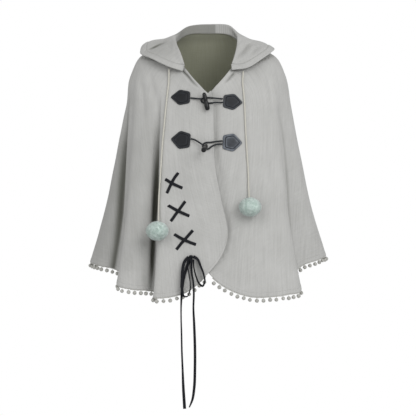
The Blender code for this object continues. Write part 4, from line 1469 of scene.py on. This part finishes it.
@dataclass(frozen=True)
class Finishes:
    """The cape's materials, each made once."""

    cloth: bpy.types.Material
    inside: bpy.types.Material
    trim: bpy.types.Material
    pompom: bpy.types.Material
    drawcord: bpy.types.Material
    toggle_cord: bpy.types.Material
    leather: bpy.types.Material
    horn: bpy.types.Material
    lace: bpy.types.Material

    @classmethod
    def made(cls) -> "Finishes":
        """Builds every material.

        Returns:
            The set of them.
        """
        return cls(
            cloth=SlubCloth("slub_cotton", "#c3c3c1", "#a8a8a5").build(),
            # The inner face is darker and more olive: partly the wrong side's own tint, partly painted
            # shade inside the cape.
            inside=SlubCloth("slub_cotton_inside_tint_and_painted_shade", "#a0a18f", "#8d8e7b").build(),
            trim=PomYarn("grey_pom_yarn", "#d4d4cf", "#908f89", 3.0).build(),
            pompom=PomYarn("mint_pom_yarn", "#eef9f5", "#a8beb5").build(),
            drawcord=PlyCord("cream_cotton_cord", "#d2d0c6", "#9d9a90").build(),
            toggle_cord=PlyCord("black_waxed_cord", "#323438", "#131416", 0.7).build(),
            leather=PressedLeather("charcoal_leather", "#17191d", "#0d0e11", "#8d949e").build(),
            horn=PolishedHorn("black_horn", "#17181b", "#08090b").build(),
            lace=GrosgrainLace("black_grosgrain_lace", "#1d1f24", "#131418").build(),
        )


@dataclass
class CapePanel:
    """One cut panel of the cape: a wall of cloth with a turned hem."""

    panel: Panel
    name: str
    flat: tuple[float, float]
    thickness: float = 2.0 * MM
    hem_depth: float = 12.0
    hem_swell: float = 0.7 * MM
    stitch_dip: float = 0.7
    stitch_width: float = 1.3
    edge_swell: float = 1.8 * MM
    edge_width: float = 4.5 * MM
    trough_shade: float = 0.95
    trough_depths: tuple[float, float] = (2 * MM, 17 * MM)
    seam_shade: float = 0.6
    seam_levels: tuple[float, float] = (0.004, 0.014)
    columns: int = 250
    corner_columns: int = 25
    rows: int = 90
    end_rows: int = 18
    end_share: float = 0.06

    def shares(self) -> Array:
        """Shares from a front's free edge to its side seam, closer together round the corner.

        Returns:
            Shares from 0 to 1, by 1 less a cosine as far as the corner's end and evenly after.
        """
        bend = FORM.corner_share(self.panel)
        corner = bend * (1 - np.cos(np.linspace(0, math.pi / 2, self.corner_columns)))
        return np.concatenate([corner, np.linspace(bend, 1, self.columns - self.corner_columns + 1)[1:]])

    def drops(self) -> Array:
        """Shares from the neckline to the hem, closer together at both ends.

        Returns:
            Shares from 0 to 1.
        """
        near, far = self.end_share, 1 - self.end_share
        top = np.linspace(0, near, self.end_rows)
        middle = np.linspace(near, far, self.rows)[1:]
        return np.concatenate([top, middle, np.linspace(far, 1, self.end_rows)[1:]])

    def places(self) -> tuple[Array, Array]:
        """The grid's places: rows from neckline to hem, and columns so that the right side faces out.

        Returns:
            Bearings and levels.
        """
        rows = self.drops()[:, None]
        if self.panel is Panel.BACK:
            bearing = np.linspace(-FORM.seam_bearing, FORM.seam_bearing - 360, self.columns)
            bearing = np.where(bearing < -180, bearing + 360, bearing)
            return np.broadcast_arrays(bearing[None], rows)
        share = self.shares() if self.panel is Panel.OVER else self.shares()[::-1]
        level = rows * FORM.hem_level(self.panel, share)[None]
        return FORM.front_bearing(self.panel, share[None], level), level

    def shade(self, bearing: Array, level: Array) -> Array:
        """How dim the cloth is painted as shade: in its troughs and valleys, where little light reaches,
        and at the back's neck edge.

        Args:
            bearing: degrees round the wearer.
            level: share of the way from neckline to hem.

        Returns:
            The largest of a rise with the troughs' depth, the back's neck seam and the shades' numbers.
        """
        points = FORM.surface(bearing, level)
        depth = -crease_depth(CREASES[self.panel], points)
        trough = self.trough_shade * rise(depth, *self.trough_depths)
        if self.panel is Panel.BACK:
            # Painted shade along the back's neck edge, under the hood.
            trough = np.maximum(trough, self.seam_shade * (1 - rise(level, *self.seam_levels)))
        dim = crease_depth(SHADES[self.panel], points) / MM
        return np.clip(np.maximum(trough, dim), 0, self.trough_shade)

    def build(self, finishes: Finishes) -> bpy.types.Object:
        """Makes the panel.

        The wall is thicker below the hem's stitch line, thinner along it, and full along a free edge. Its
        flat coordinates run across and down, as the threads do.

        Args:
            finishes: the cape's materials.

        Returns:
            The panel's object.
        """
        bearing, level = self.places()
        points = FORM.on_panel(self.panel, bearing, level)
        down = run_length(points, 0)
        hem = (down[-1] - down) / MM
        across = run_length(points, 1)
        free = across
        if self.panel is Panel.UNDER:
            across = across - across[:, -1:]
            free = -across
        elif self.panel is Panel.BACK:
            free = np.ones_like(across)
            across = across - across[:, -1:] / 2
        reference = across[len(across) // 2]
        uv = np.stack([0.5 * across + 0.5 * reference, down], axis=-1)
        swell = 1 - rise(hem, SlubCloth.stitch_line, self.hem_depth + 0.5)
        dip = np.exp(-(((hem - SlubCloth.stitch_line) / self.stitch_width) ** 2))
        outer = self.hem_swell * (swell - self.stitch_dip * dip)
        inner = self.thickness + outer
        outer = outer + self.edge_swell * np.exp(-((free / self.edge_width) ** 2))
        data = shell(points, outer, inner, uv, {"hem": hem, "shade": self.shade(bearing, level)})
        piece = put(f"{self.name}_cloth", data, (finishes.cloth, finishes.inside))
        dress(piece, self.name)
        return piece


@dataclass
class HoodHalf:
    """One half of the hood, laid back: it rises from the neck seam, rolls over and hangs to its edge."""

    half: Half
    name: str
    flat: tuple[float, float] = (0.28, 0.52)
    thickness: float = 2.4 * MM
    neck_gap: float = 0.4 * MM
    centre_gap: float = 0.3 * MM
    casing: float = 19.0
    casing_swell: float = 1.3 * MM
    stitch_width: float = 1.8
    stitch_shade: float = 0.10
    crease_ends: tuple[float, float] = (30 * MM, 60 * MM)
    band: tuple[float, float] = (28 * MM, 44 * MM)
    band_shade: float = 0.6
    rib: float = 6.3 * MM
    rib_height: float = 0.5 * MM
    rib_start: tuple[float, float] = (20 * MM, 24 * MM)
    rib_light: float = 0.36
    rib_contrast: float = 0.12
    columns: int = 280
    rows: int = 96
    neck_rows: int = 18
    neck_share: float = 0.16

    def controls(self) -> Array:
        """The places that the half is drawn through, from each station's row of the table.

        Returns:
            For each station: seam, roll, two places down the bag, its outer side and the edge.
        """
        seam = FORM.surface(column(STATIONS, "bearing"), np.zeros(len(STATIONS)))
        seam[:, 2] += self.neck_gap
        roll = np.stack([column(STATIONS, n) for n in ("roll_x", "roll_y", "roll_z")], axis=-1) * MM
        rim = np.stack([column(STATIONS, n) for n in ("rim_x", "rim_y", "rim_z")], axis=-1) * MM
        bag = column(STATIONS, "bag")[:, None] * MM
        if self.half is Half.LEFT:
            rim[:, 2] += column(STATIONS, "left_up") * MM
            rim[:, 0] -= column(STATIONS, "left_out") * MM
            roll[:, 2] += column(STATIONS, "roll_up") * MM
            roll[:, 0] += column(STATIONS, "roll_in") * MM
        down = np.array([0, 0, -1.0])
        fall = rim - roll
        out = unit(fall * np.array([1, 1, 0]) + np.array([0, 1e-6, 0]))
        inner = roll + 0.40 * fall + down * 0.42 * bag
        bottom = roll + 0.74 * fall + down * bag
        outer = roll + 0.94 * fall + down * 0.52 * bag + out * 0.12 * bag
        made = np.stack([seam, roll, inner, bottom, outer, rim], axis=1)
        if self.half is Half.LEFT:
            made[..., 0] *= -1
        made[-1, :, 0] = self.half.value * self.centre_gap / 2
        return made

    def points(self) -> Array:
        """The half's grid: smooth sections through the stations, smooth along each from seam to edge.

        Returns:
            The grid's points, rows from seam to edge.
        """
        controls = self.controls()
        beyond = controls[-2:-1] * np.array([-1.0, 1.0, 1.0])
        knots = np.arange(len(STATIONS) + 1)
        sections = np.concatenate([controls, beyond])
        sections = smooth(np.linspace(0, len(STATIONS) - 1, self.columns), knots, sections)
        neck = np.linspace(0, self.neck_share, self.neck_rows)
        rest = np.linspace(self.neck_share, 1, self.rows - self.neck_rows + 1)[1:]
        along = np.concatenate([neck, rest])
        points = smooth(along, np.array([0, 0.10, 0.38, 0.68, 0.88, 1.0]), np.swapaxes(sections, 0, 1))
        points[:, -1, 0] = self.half.value * self.centre_gap / 2
        return points if self.half is Half.RIGHT else points[:, ::-1]

    def build(self, finishes: Finishes) -> bpy.types.Object:
        """Makes the half: thicker along its edge, where the drawcord runs, and thin at the stitch line.

        Inside the back of the neck it is ribbed on the wearer's left, and its colour carries a band of
        painted shade, weaker on the wearer's left, where it also rises and falls with the ribs.

        Args:
            finishes: the cape's materials.

        Returns:
            The half's object.
        """
        points = self.points()
        near = 1 - rise(points[..., 1], *self.crease_ends)
        lift = crease_depth(HOOD_CREASES[self.half], points) * near
        points = points + grid_normals(points) * lift[..., None]
        down = run_length(points, 0)
        edge = (down[-1] - down) / MM
        swell = 1 - rise(edge, self.casing - 5, self.casing)
        dip = np.exp(-(((edge - self.casing) / self.stitch_width) ** 2))
        band = (1 - rise(down, *self.band)) * rise(points[..., 1], 0.0, 50 * MM)
        ribbed = band * rise(points[..., 0], *self.rib_start)
        rib = np.sin(2 * math.pi * points[..., 0] / self.rib)
        wall = self.thickness / 2 + self.casing_swell * (swell - dip)
        uv = np.stack([run_length(points, 1), down], axis=-1)
        # Painted shade: the band inside the back of the neck, weaker where ribbed and rising and falling
        # with the ribs, and the stitch line's dip.
        lighter = ribbed * (self.rib_light - self.rib_contrast * rib)
        shade = self.band_shade * band - lighter + self.stitch_shade * dip
        dim = crease_depth(HOOD_SHADES[self.half], points) / MM * near
        marks = {
            "hem": edge * SlubCloth.stitch_line / self.casing,
            "shade": np.clip(np.maximum(shade, dim), 0, 1),
        }
        data = shell(points, wall, wall + self.rib_height * ribbed * rib, uv, marks)
        piece = put(f"{self.name}_cloth", data, (finishes.cloth, finishes.cloth))
        dress(piece, self.name)
        return piece


@dataclass
class BallTrim:
    """A strip of trim below one panel's hem: a narrow tape, stems and round balls of cut yarn."""

    panel: Panel
    name: str
    pitch: float = 17.5 * MM
    tape: tuple[float, float] = (3.0 * MM, 1.4 * MM)
    tape_gap: float = 0.2 * MM
    ball: float = 5.3 * MM
    drop: float = 7.4 * MM
    uneven: float = 0.7 * MM
    stem: float = 1.6 * MM
    fuzz: float = 1.1 * MM
    fibre: float = 0.32 * MM
    fibres: int = 90
    cloth: float = 2.0 * MM

    def hem_line(self) -> tuple[Array, Array, Array]:
        """The hem, from the trim's end at a front's corner, or all along the back.

        Returns:
            Points, outward directions and ways down the cloth.
        """
        if self.panel is Panel.BACK:
            bearing = np.linspace(-FORM.seam_bearing - 0.2, FORM.seam_bearing - 359.8, 900)
            bearing = np.where(bearing < -180, bearing + 360, bearing)
            level = np.ones_like(bearing)
        else:
            share = np.linspace(0, 0.999, 900)
            level = FORM.hem_level(self.panel, share)
            bearing = FORM.front_bearing(self.panel, share, level)
        points = FORM.on_panel(self.panel, bearing, level)
        if self.panel is not Panel.BACK:
            sign = self.panel.value
            keep = points[:, 0] * sign > TRIM_END[self.panel] * sign
            points, bearing, level = points[keep], bearing[keep], level[keep]
        normal = FORM.normal(bearing, level)
        down = unit(np.cross(normal, unit(np.gradient(points, axis=0))))
        return points, normal, np.where(down[:, 2:] > 0, -down, down)

    def build(self, finishes: Finishes) -> bpy.types.Object:
        """Makes the strip: the balls hang a little unevenly, as sewn trim does.

        Args:
            finishes: the cape's materials.

        Returns:
            The strip's object.
        """
        rng = np.random.default_rng(self.panel.value + 7)
        points, normal, down = self.hem_line()
        length = run_length(points, 0)
        middle = points - normal * self.cloth / 2

        def read(values: Array, at: Array) -> Array:
            """The values at some distances along the hem."""
            return np.stack([np.interp(at, length, values[:, k]) for k in range(3)], axis=-1)

        at = np.linspace(length[1], length[-2], int(length[-1] / (3 * MM)))
        height, depth = self.tape
        line = read(middle, at) + unit(read(down, at)) * (self.tape_gap + height / 2)
        turn = np.linspace(0, 2 * math.pi, 9)[:-1]
        braid = 1 + 0.18 * np.sin(at / (2.6 * MM))[:, None]
        oval = np.stack([braid * height / 2 * np.cos(turn), braid * depth / 2 * np.sin(turn)], axis=-1)
        marks = {"tip": np.full(oval.shape[:2], 0.5)}
        strip = sweep(line, unit(read(down, at)), unit(read(normal, at)), oval, marks)
        count = int(length[-1] // self.pitch)
        centre_at = (np.arange(count) + 0.5) * (length[-1] / count)
        seat = read(middle, centre_at) + unit(read(down, centre_at)) * (self.tape_gap + height)
        centres = seat - np.array([0, 0, self.drop]) + rng.normal(0, self.uneven, (count, 3))
        radius = self.ball * rng.uniform(0.93, 1.05, count)
        stems = spikes(centres, seat + np.array([0, 0, 1.5 * MM]), np.full(count, self.stem))
        stems.marks["tip"][:] = 0.3
        lumps = balls(centres, radius, 8, 12, 0.10)
        way = unit(rng.normal(size=(count, self.fibres, 3)))
        lean = unit(way + rng.normal(0, 0.35, way.shape))
        roots = (centres[:, None] + way * radius[:, None, None] * 0.94).reshape(-1, 3)
        reach = self.fuzz * rng.uniform(0.6, 1.4, (len(roots), 1))
        fuzz = spikes(roots, roots + lean.reshape(-1, 3) * reach, np.full(len(roots), self.fibre))
        piece = put(f"{self.name}_balls", join([strip, stems, lumps, fuzz]), (finishes.trim,))
        return dress(piece, self.name)


@dataclass
class Rope:
    """A twisted cord: plies that wind round each other, as grooves in a round section."""

    diameter: float
    plies: int = 3
    pitch: float = 16 * MM
    groove: float = 0.2
    sides: int = 18

    def mesh(self, places: Array) -> tuple[MeshData, Array]:
        """Carries the section along a smooth line, with rounded ends.

        The radius falls by the groove's share between plies: 1 - groove * (1 - |cos(plies / 2 * angle)|).

        Args:
            places: places that the cord runs through.

        Returns:
            The mesh and the line that it follows.
        """
        line, at, _ = even_line(places, 1.3 * MM)
        ahead = unit(np.gradient(line, axis=0))
        across = unit(np.cross(ahead, np.array([0, -1.0, 0])))
        face = np.cross(ahead, across)
        turn = np.linspace(0, 2 * math.pi, self.sides + 1)[:-1]
        angle = turn[None] - 2 * math.pi * at[:, None] / self.pitch
        crown = np.abs(np.cos(self.plies / 2 * angle)) ** 0.7
        radius = self.diameter / 2
        end = np.minimum(at, at[-1] - at)
        cap = np.sqrt(1 - (1 - np.clip(end / radius, 0.05, 1)) ** 2)
        reach = radius * (1 - self.groove * (1 - crown)) * cap[:, None]
        profile = np.stack([reach * np.cos(turn), reach * np.sin(turn)], axis=-1)
        return sweep(line, across, face, profile, {"ply": crown}), line


@dataclass
class Drawcord:
    """A free end of the hood's drawcord, lying on a front and ending in a large pompom."""

    panel: Panel
    side: str
    table: Sequence[Run]
    rope: Rope = field(default_factory=lambda: Rope(4.5 * MM, 3, 15 * MM))
    pompom: float = 57.0 * MM
    squash: tuple[float, float, float] = (1.12, 1.0, 0.95)
    lock: float = 5.0 * MM
    lean: float = 0.75
    turn: float = 0.3
    seat: float = 0.5 * MM
    fibre: float = 0.6 * MM
    fibres: int = 9000

    def route(self) -> tuple[Array, Array]:
        """The cord's places and the cloth's directions there."""
        x, z, lift = (column(self.table, n) * MM for n in ("x", "z", "lift"))
        return FORM.seen_at(self.panel, x, z, lift)

    def ball(self, end: Array, away: Array, finishes: Finishes) -> bpy.types.Object:
        """Makes the pompom: a core, and cut fibres that stand out of it every way in uneven tufts.

        Args:
            end: the cord's end.
            away: the way from there to the pompom's middle.
            finishes: the cape's materials.

        Returns:
            The pompom's object.
        """
        rng = np.random.default_rng(self.panel.value + 21)
        squash = np.array(self.squash)
        core = self.pompom / 2 - self.lock
        reach = core / np.linalg.norm(away / squash)
        centre = end + away * (reach + self.seat)
        lump = balls(np.zeros((1, 3)), np.array([core + 1.5 * MM]), 30, 40, 0.03)
        way = unit(rng.normal(size=(self.fibres, 3)))
        lean = unit(way + rng.normal(0, 0.25, way.shape))
        tuft = 1 + 0.10 * ripple(way * core, 24 * MM, 9) + 0.28 * ripple(way * core, 9 * MM, 4)
        length = (self.lock + 0.6 * MM) * rng.uniform(0.8, 1.0, self.fibres) * tuft
        roots = way * (core - 0.5 * MM)
        fur = spikes(roots, roots + lean * length[:, None], np.full(self.fibres, self.fibre))
        yarn = join([lump, fur])
        yarn.vertices = centre + yarn.vertices * squash
        piece = put(f"pompom_{self.side}_yarn", yarn, (finishes.pompom,))
        return dress(piece, f"pompom_{self.side}")

    def build(self, finishes: Finishes) -> bpy.types.Object:
        """Args:
            finishes: the cape's materials.

        Returns:
            The cord's object.
        """
        places, normals = self.route()
        data, line = self.rope.mesh(places)
        piece = put(f"drawcord_{self.side}_cord", data, (finishes.drawcord,))
        dress(piece, f"drawcord_{self.side}")
        fall = (places[-1] - places[-3]) * np.array([1, 0, 1])
        out = unit(normals[-1] * np.array([self.turn, 1, 1]))
        away = unit(unit(fall) * math.sqrt(1 - self.lean**2) + out * self.lean)
        pompom = self.ball(places[-1], away, finishes)
        length = float(run_length(line, 0)[-1])
        LOG.info("drawcord_%s: %.3f m long", self.side, length)
        return piece


@dataclass
class ToggleCord:
    """A black cord between a patch and its toggle: a single cord or a loop round the toggle."""

    name: str
    table: Sequence[Run]
    rope: Rope = field(default_factory=lambda: Rope(4.6 * MM, 3, 13 * MM, 0.16))

    def build(self, finishes: Finishes) -> bpy.types.Object:
        """Makes the cord along its run over the cape.

        Args:
            finishes: the cape's materials.

        Returns:
            The cord's object.
        """
        x, z, lift = (column(self.table, n) * MM for n in ("x", "z", "lift"))
        places, _ = FORM.seen_at(Panel.PLAIN, x, z, lift)
        data, _ = self.rope.mesh(places)
        return dress(put(f"{self.name}_cord", data, (finishes.toggle_cord,)), self.name)


@dataclass
class LeatherPatch:
    """A five-sided leather patch with a raised border, a pressed groove and a crowned middle."""

    place: PatchPlace
    rest: float = 0.6 * MM
    thickness: float = 2.6 * MM
    groove: float = 0.9 * MM
    corner: float = 6.5 * MM
    edge_places: int = 8

    def outline(self) -> Array:
        """The rounded outline: each corner a curve between places on its two sides, then a straight side.

        Returns:
            Places across and up, once round.
        """
        corners = np.array(PATCH_OUTLINE, float) * MM
        corners *= (-self.place.panel.value, self.place.tall)
        before = unit(np.roll(corners, 1, axis=0) - corners) * self.corner
        after = unit(np.roll(corners, -1, axis=0) - corners) * self.corner
        t = np.linspace(0, 1, 7)[None, :, None]
        bends = corners[:, None] + before[:, None] * (1 - t) ** 2 + after[:, None] * t**2
        start = (corners + after)[:, None]
        stop = np.roll(corners + before, -1, axis=0)[:, None]
        share = np.linspace(0, 1, self.edge_places + 2)[1:-1][None, :, None]
        sides = start * (1 - share) + stop * share
        return np.concatenate([bends, sides], axis=1).reshape(-1, 2)

    def section(self) -> Array:
        """The patch's section, from under it over its border and groove to its middle.

        Returns:
            Rows of a share of the outline, a height and the wear there.
        """
        top = self.rest + self.thickness
        return np.array(
            [
                (0.60, self.rest, 0),
                (0.96, self.rest, 0),
                (1.00, self.rest + 0.4 * MM, 0),
                (1.005, self.rest + 1.2 * MM, 0.2),
                (0.99, top - 0.5 * MM, 0.8),
                (0.96, top - 0.05 * MM, 1.0),
                (0.92, top, 0.9),
                (0.84, top, 0.9),
                (0.79, top - 0.05 * MM, 0.9),
                (0.765, top - 0.35 * MM, 0.4),
                (0.745, top - self.groove, 0),
                (0.70, top - self.groove, 0),
                (0.68, top - 0.35 * MM, 0.4),
                (0.655, top - 0.05 * MM, 1.0),
                (0.61, top + 0.1 * MM, 0.8),
                (0.50, top + 0.35 * MM, 0.35),
                (0.34, top + 0.55 * MM, 0.3),
                (0.16, top + 0.65 * MM, 0.3),
                (0.02, top + 0.68 * MM, 0.3),
            ]
        )

    def build(self, finishes: Finishes) -> bpy.types.Object:
        """Makes the patch: its outline scaled to each share and laid on the cloth at each height.

        Args:
            finishes: the cape's materials.

        Returns:
            The patch's object.
        """
        outline = self.outline()
        share, height, wear = self.section().T
        flat = outline[None] * share[:, None, None]
        tilt = math.radians(self.place.tilt)
        across = flat[..., 0] * math.cos(tilt) - flat[..., 1] * math.sin(tilt)
        up = flat[..., 0] * math.sin(tilt) + flat[..., 1] * math.cos(tilt)
        lift = height[:, None] + np.zeros_like(across)
        x = self.place.x * MM + across
        z = self.place.z * MM + up
        points, _ = FORM.seen_at(self.place.panel, x, z, lift)
        rings, places = points.shape[:2]
        quads = grid_quads(rings, places, wrap=True)
        caps = [np.arange(places)[::-1], np.arange(places) + (rings - 1) * places]
        middle = points.mean(axis=(0, 1))
        flat_points = points.reshape(-1, 3)
        face = flat_points[quads[:, 0]]
        way = np.cross(flat_points[quads[:, 1]] - face, flat_points[quads[:, 3]] - face)
        if np.sum(way * (face - middle)) < 0:
            quads = quads[:, ::-1]
            caps = [cap[::-1] for cap in caps]
        marks = {"wear": np.repeat(wear * self.place.wear, places)}
        faces = quads.tolist() + [cap.tolist() for cap in caps]
        data = MeshData(flat_points, faces, marks=marks)
        piece = put(f"{self.place.name}_leather", data, (finishes.leather,))
        return dress(piece, self.place.name)


@dataclass
class Toggle:
    """A turned horn toggle: waisted for its cord, narrower at one end."""

    place: TogglePlace
    length: float = 50.0 * MM
    diameter: float = 13.0 * MM
    sides: int = 28

    def build(self, finishes: Finishes) -> bpy.types.Object:
        """Makes the toggle: a smooth profile spun round its axis.

        Args:
            finishes: the cape's materials.

        Returns:
            The toggle's object.
        """
        knots, share = np.array(TOGGLE_PROFILE).T
        low, high = TOGGLE_ENDS
        barrel = np.linspace(low, high, 40)[1:]
        at = np.concatenate([np.linspace(-1, low, 8), barrel, np.linspace(high, 1, 8)[1:]])
        x, z, lift = self.place.x * MM, self.place.z * MM, self.place.lift * MM
        centre, _ = FORM.seen_at(Panel.PLAIN, [x], [z], lift)
        axis = unit(np.array(self.place.along))
        first = unit(np.cross(axis, np.array([1.0, 0.0, 0.0])))
        line = centre[0] + axis * at[:, None] * self.length / 2
        radius = smooth(at, knots, share)[:, None] * self.diameter / 2
        turn = np.linspace(0, 2 * math.pi, self.sides + 1)[:-1]
        profile = np.stack([radius * np.cos(turn), radius * np.sin(turn)], axis=-1)
        ones = np.ones((len(at), 1))
        data = sweep(line, ones * first, ones * np.cross(axis, first), profile, {})
        return dress(put(f"{self.place.name}_horn", data, (finishes.horn,)), self.place.name)


@dataclass
class Lacing:
    """The flat lace: three crosses, a knot, and a bow with two loops and two free ends."""

    width: float = 8.2 * MM
    thickness: float = 1.0 * MM
    rest: float = 0.5 * MM
    knot_size: tuple[float, float, float] = (5.6 * MM, 4.2 * MM, 4.6 * MM)

    def profile(self, count: int) -> Array:
        """The lace's section at each of a line's points: a flat oval with fuller edges.

        Args:
            count: how many points.

        Returns:
            The section's places across and out, repeated for each point.
        """
        turn = np.linspace(0, 2 * math.pi, 15)[:-1]
        across = np.sign(np.cos(turn)) * np.abs(np.cos(turn)) ** 0.55
        face = np.sign(np.sin(turn)) * np.abs(np.sin(turn)) ** 0.8
        oval = np.stack([across * self.width / 2, face * self.thickness / 2], axis=-1)
        return np.broadcast_to(oval, (count, *oval.shape))

    def strap(self, row: Strap, finishes: Finishes) -> bpy.types.Object:
        """Makes a strap: it comes up through the cloth, lies on it, humps over the other and goes in.

        Args:
            row: the strap's places and lift.
            finishes: the cape's materials.

        Returns:
            The strap's object.
        """
        flat, at, _ = even_line(np.array([(x * MM, 0, z * MM) for x, z in row.places]), 1.5 * MM)
        share = at / at[-1]
        hump = row.lift * MM * np.exp(-(((share - 0.5) / 0.22) ** 2))
        dive = 2.2 * MM * (1 - rise(np.minimum(at, at[-1] - at), 0.0, 4 * MM))
        lift = self.rest + self.thickness / 2 + hump - dive
        line, normal = FORM.seen_at(Panel.OVER, flat[:, 0], flat[:, 2], lift)
        ahead = unit(np.gradient(line, axis=0))
        across = unit(np.cross(normal, ahead))
        data = sweep(line, across, np.cross(ahead, across), self.profile(len(line)), {})
        return dress(put(f"{row.name}_strap", data, (finishes.lace,)), row.name)

    def hanging(
        self, node: str, table: Sequence[Bow], finishes: Finishes
    ) -> tuple[bpy.types.Object, Array]:
        """Makes a hanging length of lace, turned about its line by its angles.

        Args:
            node: the solid that it stands for.
            table: its places.
            finishes: the cape's materials.

        Returns:
            The lace's object and the line that it follows.
        """
        line, at, knots = even_line(FORM.off_front(table), 2.0 * MM)
        turn = np.radians(smooth(at, knots, column(table, "turn")))[:, None]
        ahead = unit(np.gradient(line, axis=0))
        depth = np.array([0, -1.0, 0])
        face = unit(depth - ahead * (ahead @ depth)[:, None])
        across = np.cross(ahead, face)
        wide = across * np.cos(turn) + face * np.sin(turn)
        data = sweep(line, wide, np.cross(ahead, wide), self.profile(len(line)), {})
        return dress(put(f"{node}_tape", data, (finishes.lace,)), node), line

    def knot(self, finishes: Finishes) -> bpy.types.Object:
        """Makes the knot: an oval lump that narrows a little at its middle, as wound lace does.

        Args:
            finishes: the cape's materials.

        Returns:
            The knot's object.
        """
        centre = FORM.off_front([KNOT])[0]
        turn = np.linspace(0, 2 * math.pi, 25)[:-1]
        at = np.linspace(-1, 1, 25)
        round_end = np.sqrt(np.clip(1 - at**2, 0.004, 1))
        wrap = 1 - 0.10 * np.exp(-((at / 0.12) ** 2)) + 0.05 * np.cos(at * 9)
        reach = (round_end * wrap)[:, None]
        half_width, depth, height = self.knot_size
        profile = np.stack([reach * depth * np.cos(turn), reach * height * np.sin(turn)], axis=-1)
        line = centre + np.array([1.0, 0, 0]) * (at * half_width)[:, None]
        ones = np.ones((len(at), 1))
        data = sweep(line, ones * np.array([0, 1.0, 0]), ones * np.array([0, 0, 1.0]), profile, {})
        return dress(put("lace_knot_lump", data, (finishes.lace,)), "lace_knot")

    def build(self, finishes: Finishes) -> None:
        """Makes all the lacing and logs the lengths of its loops and free ends.

        Args:
            finishes: the cape's materials.
        """
        for row in STRAPS:
            self.strap(row, finishes)
        self.knot(finishes)
        for node, table, far_end in (
            ("lace_loop_right", LOOP_RIGHT_SIDE, "object"),
            ("lace_loop_left", LOOP_LEFT_SIDE, "object"),
            ("lace_tail_right", TAIL_RIGHT, "bare"),
            ("lace_tail_left", TAIL_LEFT, "bare"),
        ):
            piece, line = self.hanging(node, table, finishes)
            length = float(run_length(line, 0)[-1])
            LOG.info("%s: %.3f m long", node, length)


@dataclass
class Studio:
    """A white room: a pale floor well below the hem, even light, two large soft lamps and the camera."""

    camera_back: float = 3.6
    camera_z: float = -0.4686
    view_width: float = 1.1885
    sensor: float = 36.0
    floor_z: float = -1.45
    floor_radius: float = 2.2
    ambient: float = 0.54
    key_power: float = 60.0
    key_place: tuple[float, float, float] = (1.7, -2.9, 1.2)
    fill_power: float = 20.0
    fill_place: tuple[float, float, float] = (-2.0, -2.7, 0.6)
    lamp_size: float = 2.4
    lamp_aim: float = 0.35

    def camera(self) -> None:
        """A level camera that looks along +Y and takes in view_width at the cape's middle."""
        data = bpy.data.cameras.new("camera")
        data.sensor_width = self.sensor
        data.lens = self.sensor * self.camera_back / self.view_width
        made = bpy.data.objects.new("camera", data)
        made.location = (0, -self.camera_back, self.camera_z)
        made.rotation_euler = (math.pi / 2, 0, 0)
        bpy.context.scene.collection.objects.link(made)
        bpy.context.scene.camera = made

    def lamp(self, name: str, power: float, place: tuple[float, float, float]) -> None:
        """A square soft light that faces the cape's middle, lamp_aim below the origin.

        Args:
            name: its name.
            power: its watts.
            place: where it stands.
        """
        data = bpy.data.lights.new(name, "AREA")
        data.energy = power
        data.size = self.lamp_size
        made = bpy.data.objects.new(name, data)
        made.location = place
        back = made.location.copy()
        back.z += self.lamp_aim
        made.rotation_euler = back.to_track_quat("Z", "Y").to_euler()
        bpy.context.scene.collection.objects.link(made)

    def room(self) -> None:
        """White surroundings, brighter to look at than as light, and a pale matt floor."""
        world = bpy.data.worlds.new("white_room")
        bpy.context.scene.world = world
        world.use_nodes = True
        tree = world.node_tree
        soft = tree.nodes["Background"]
        soft.inputs[0].default_value = (1, 1, 1, 1)
        soft.inputs[1].default_value = self.ambient
        seen = add_node(tree, "ShaderNodeBackground", {0: (1, 1, 1, 1), 1: 1.0}).outputs[0]
        ray = add_node(tree, "ShaderNodeLightPath", {}).outputs["Is Camera Ray"]
        both = add_node(tree, "ShaderNodeMixShader", {0: ray, 1: soft.outputs[0], 2: seen}).outputs[0]
        tree.links.new(both, tree.nodes["World Output"].inputs[0])
        paint, _, _ = new_material("white_floor_paint", Base_Color=(0.85, 0.85, 0.85, 1), Roughness=0.9)
        turn = np.linspace(0, 2 * math.pi, 65)[:-1]
        reach = self.floor_radius
        rim = np.stack([reach * np.cos(turn), reach * np.sin(turn), np.full(64, self.floor_z)], axis=-1)
        floor = put("floor", MeshData(rim, [list(range(64))]), (paint,))

    def build(self) -> None:
        """Sets up the camera, the lights and the room."""
        self.camera()
        self.lamp("key", self.key_power, self.key_place)
        self.lamp("fill", self.fill_power, self.fill_place)
        self.room()
        bpy.context.scene.view_settings.view_transform = "Standard"


def main() -> None:
    """Builds the camera, the cords and then every other piece."""
    logging.basicConfig(level=logging.INFO, format="%(name)s: %(message)s")
    Studio().build()
    finishes = Finishes.made()
    Drawcord(Panel.OVER, "right", DRAWCORD_RIGHT).build(finishes)
    Drawcord(Panel.UNDER, "left", DRAWCORD_LEFT).build(finishes)
    Lacing().build(finishes)
    CapePanel(Panel.OVER, "front_right", (0.60, 0.76)).build(finishes)
    CapePanel(Panel.UNDER, "front_left", (0.54, 0.77)).build(finishes)
    CapePanel(Panel.BACK, "back", (0.86, 0.74), columns=210).build(finishes)
    for half in Half:
        HoodHalf(half, f"hood_{half.name.lower()}").build(finishes)
    for panel, name in ((Panel.OVER, "right"), (Panel.UNDER, "left"), (Panel.BACK, "back")):
        BallTrim(panel, f"trim_{name}").build(finishes)
    for place in PATCHES:
        LeatherPatch(place).build(finishes)
    for place in TOGGLES:
        Toggle(place).build(finishes)
    for name, table in (
        ("cord_upper", CORD_UPPER),
        ("cord_lower", CORD_LOWER),
        ("loop_upper", LOOP_UPPER),
        ("loop_lower", LOOP_LOWER),
    ):
        ToggleCord(name, table).build(finishes)


if __name__ == "__main__":
    main()
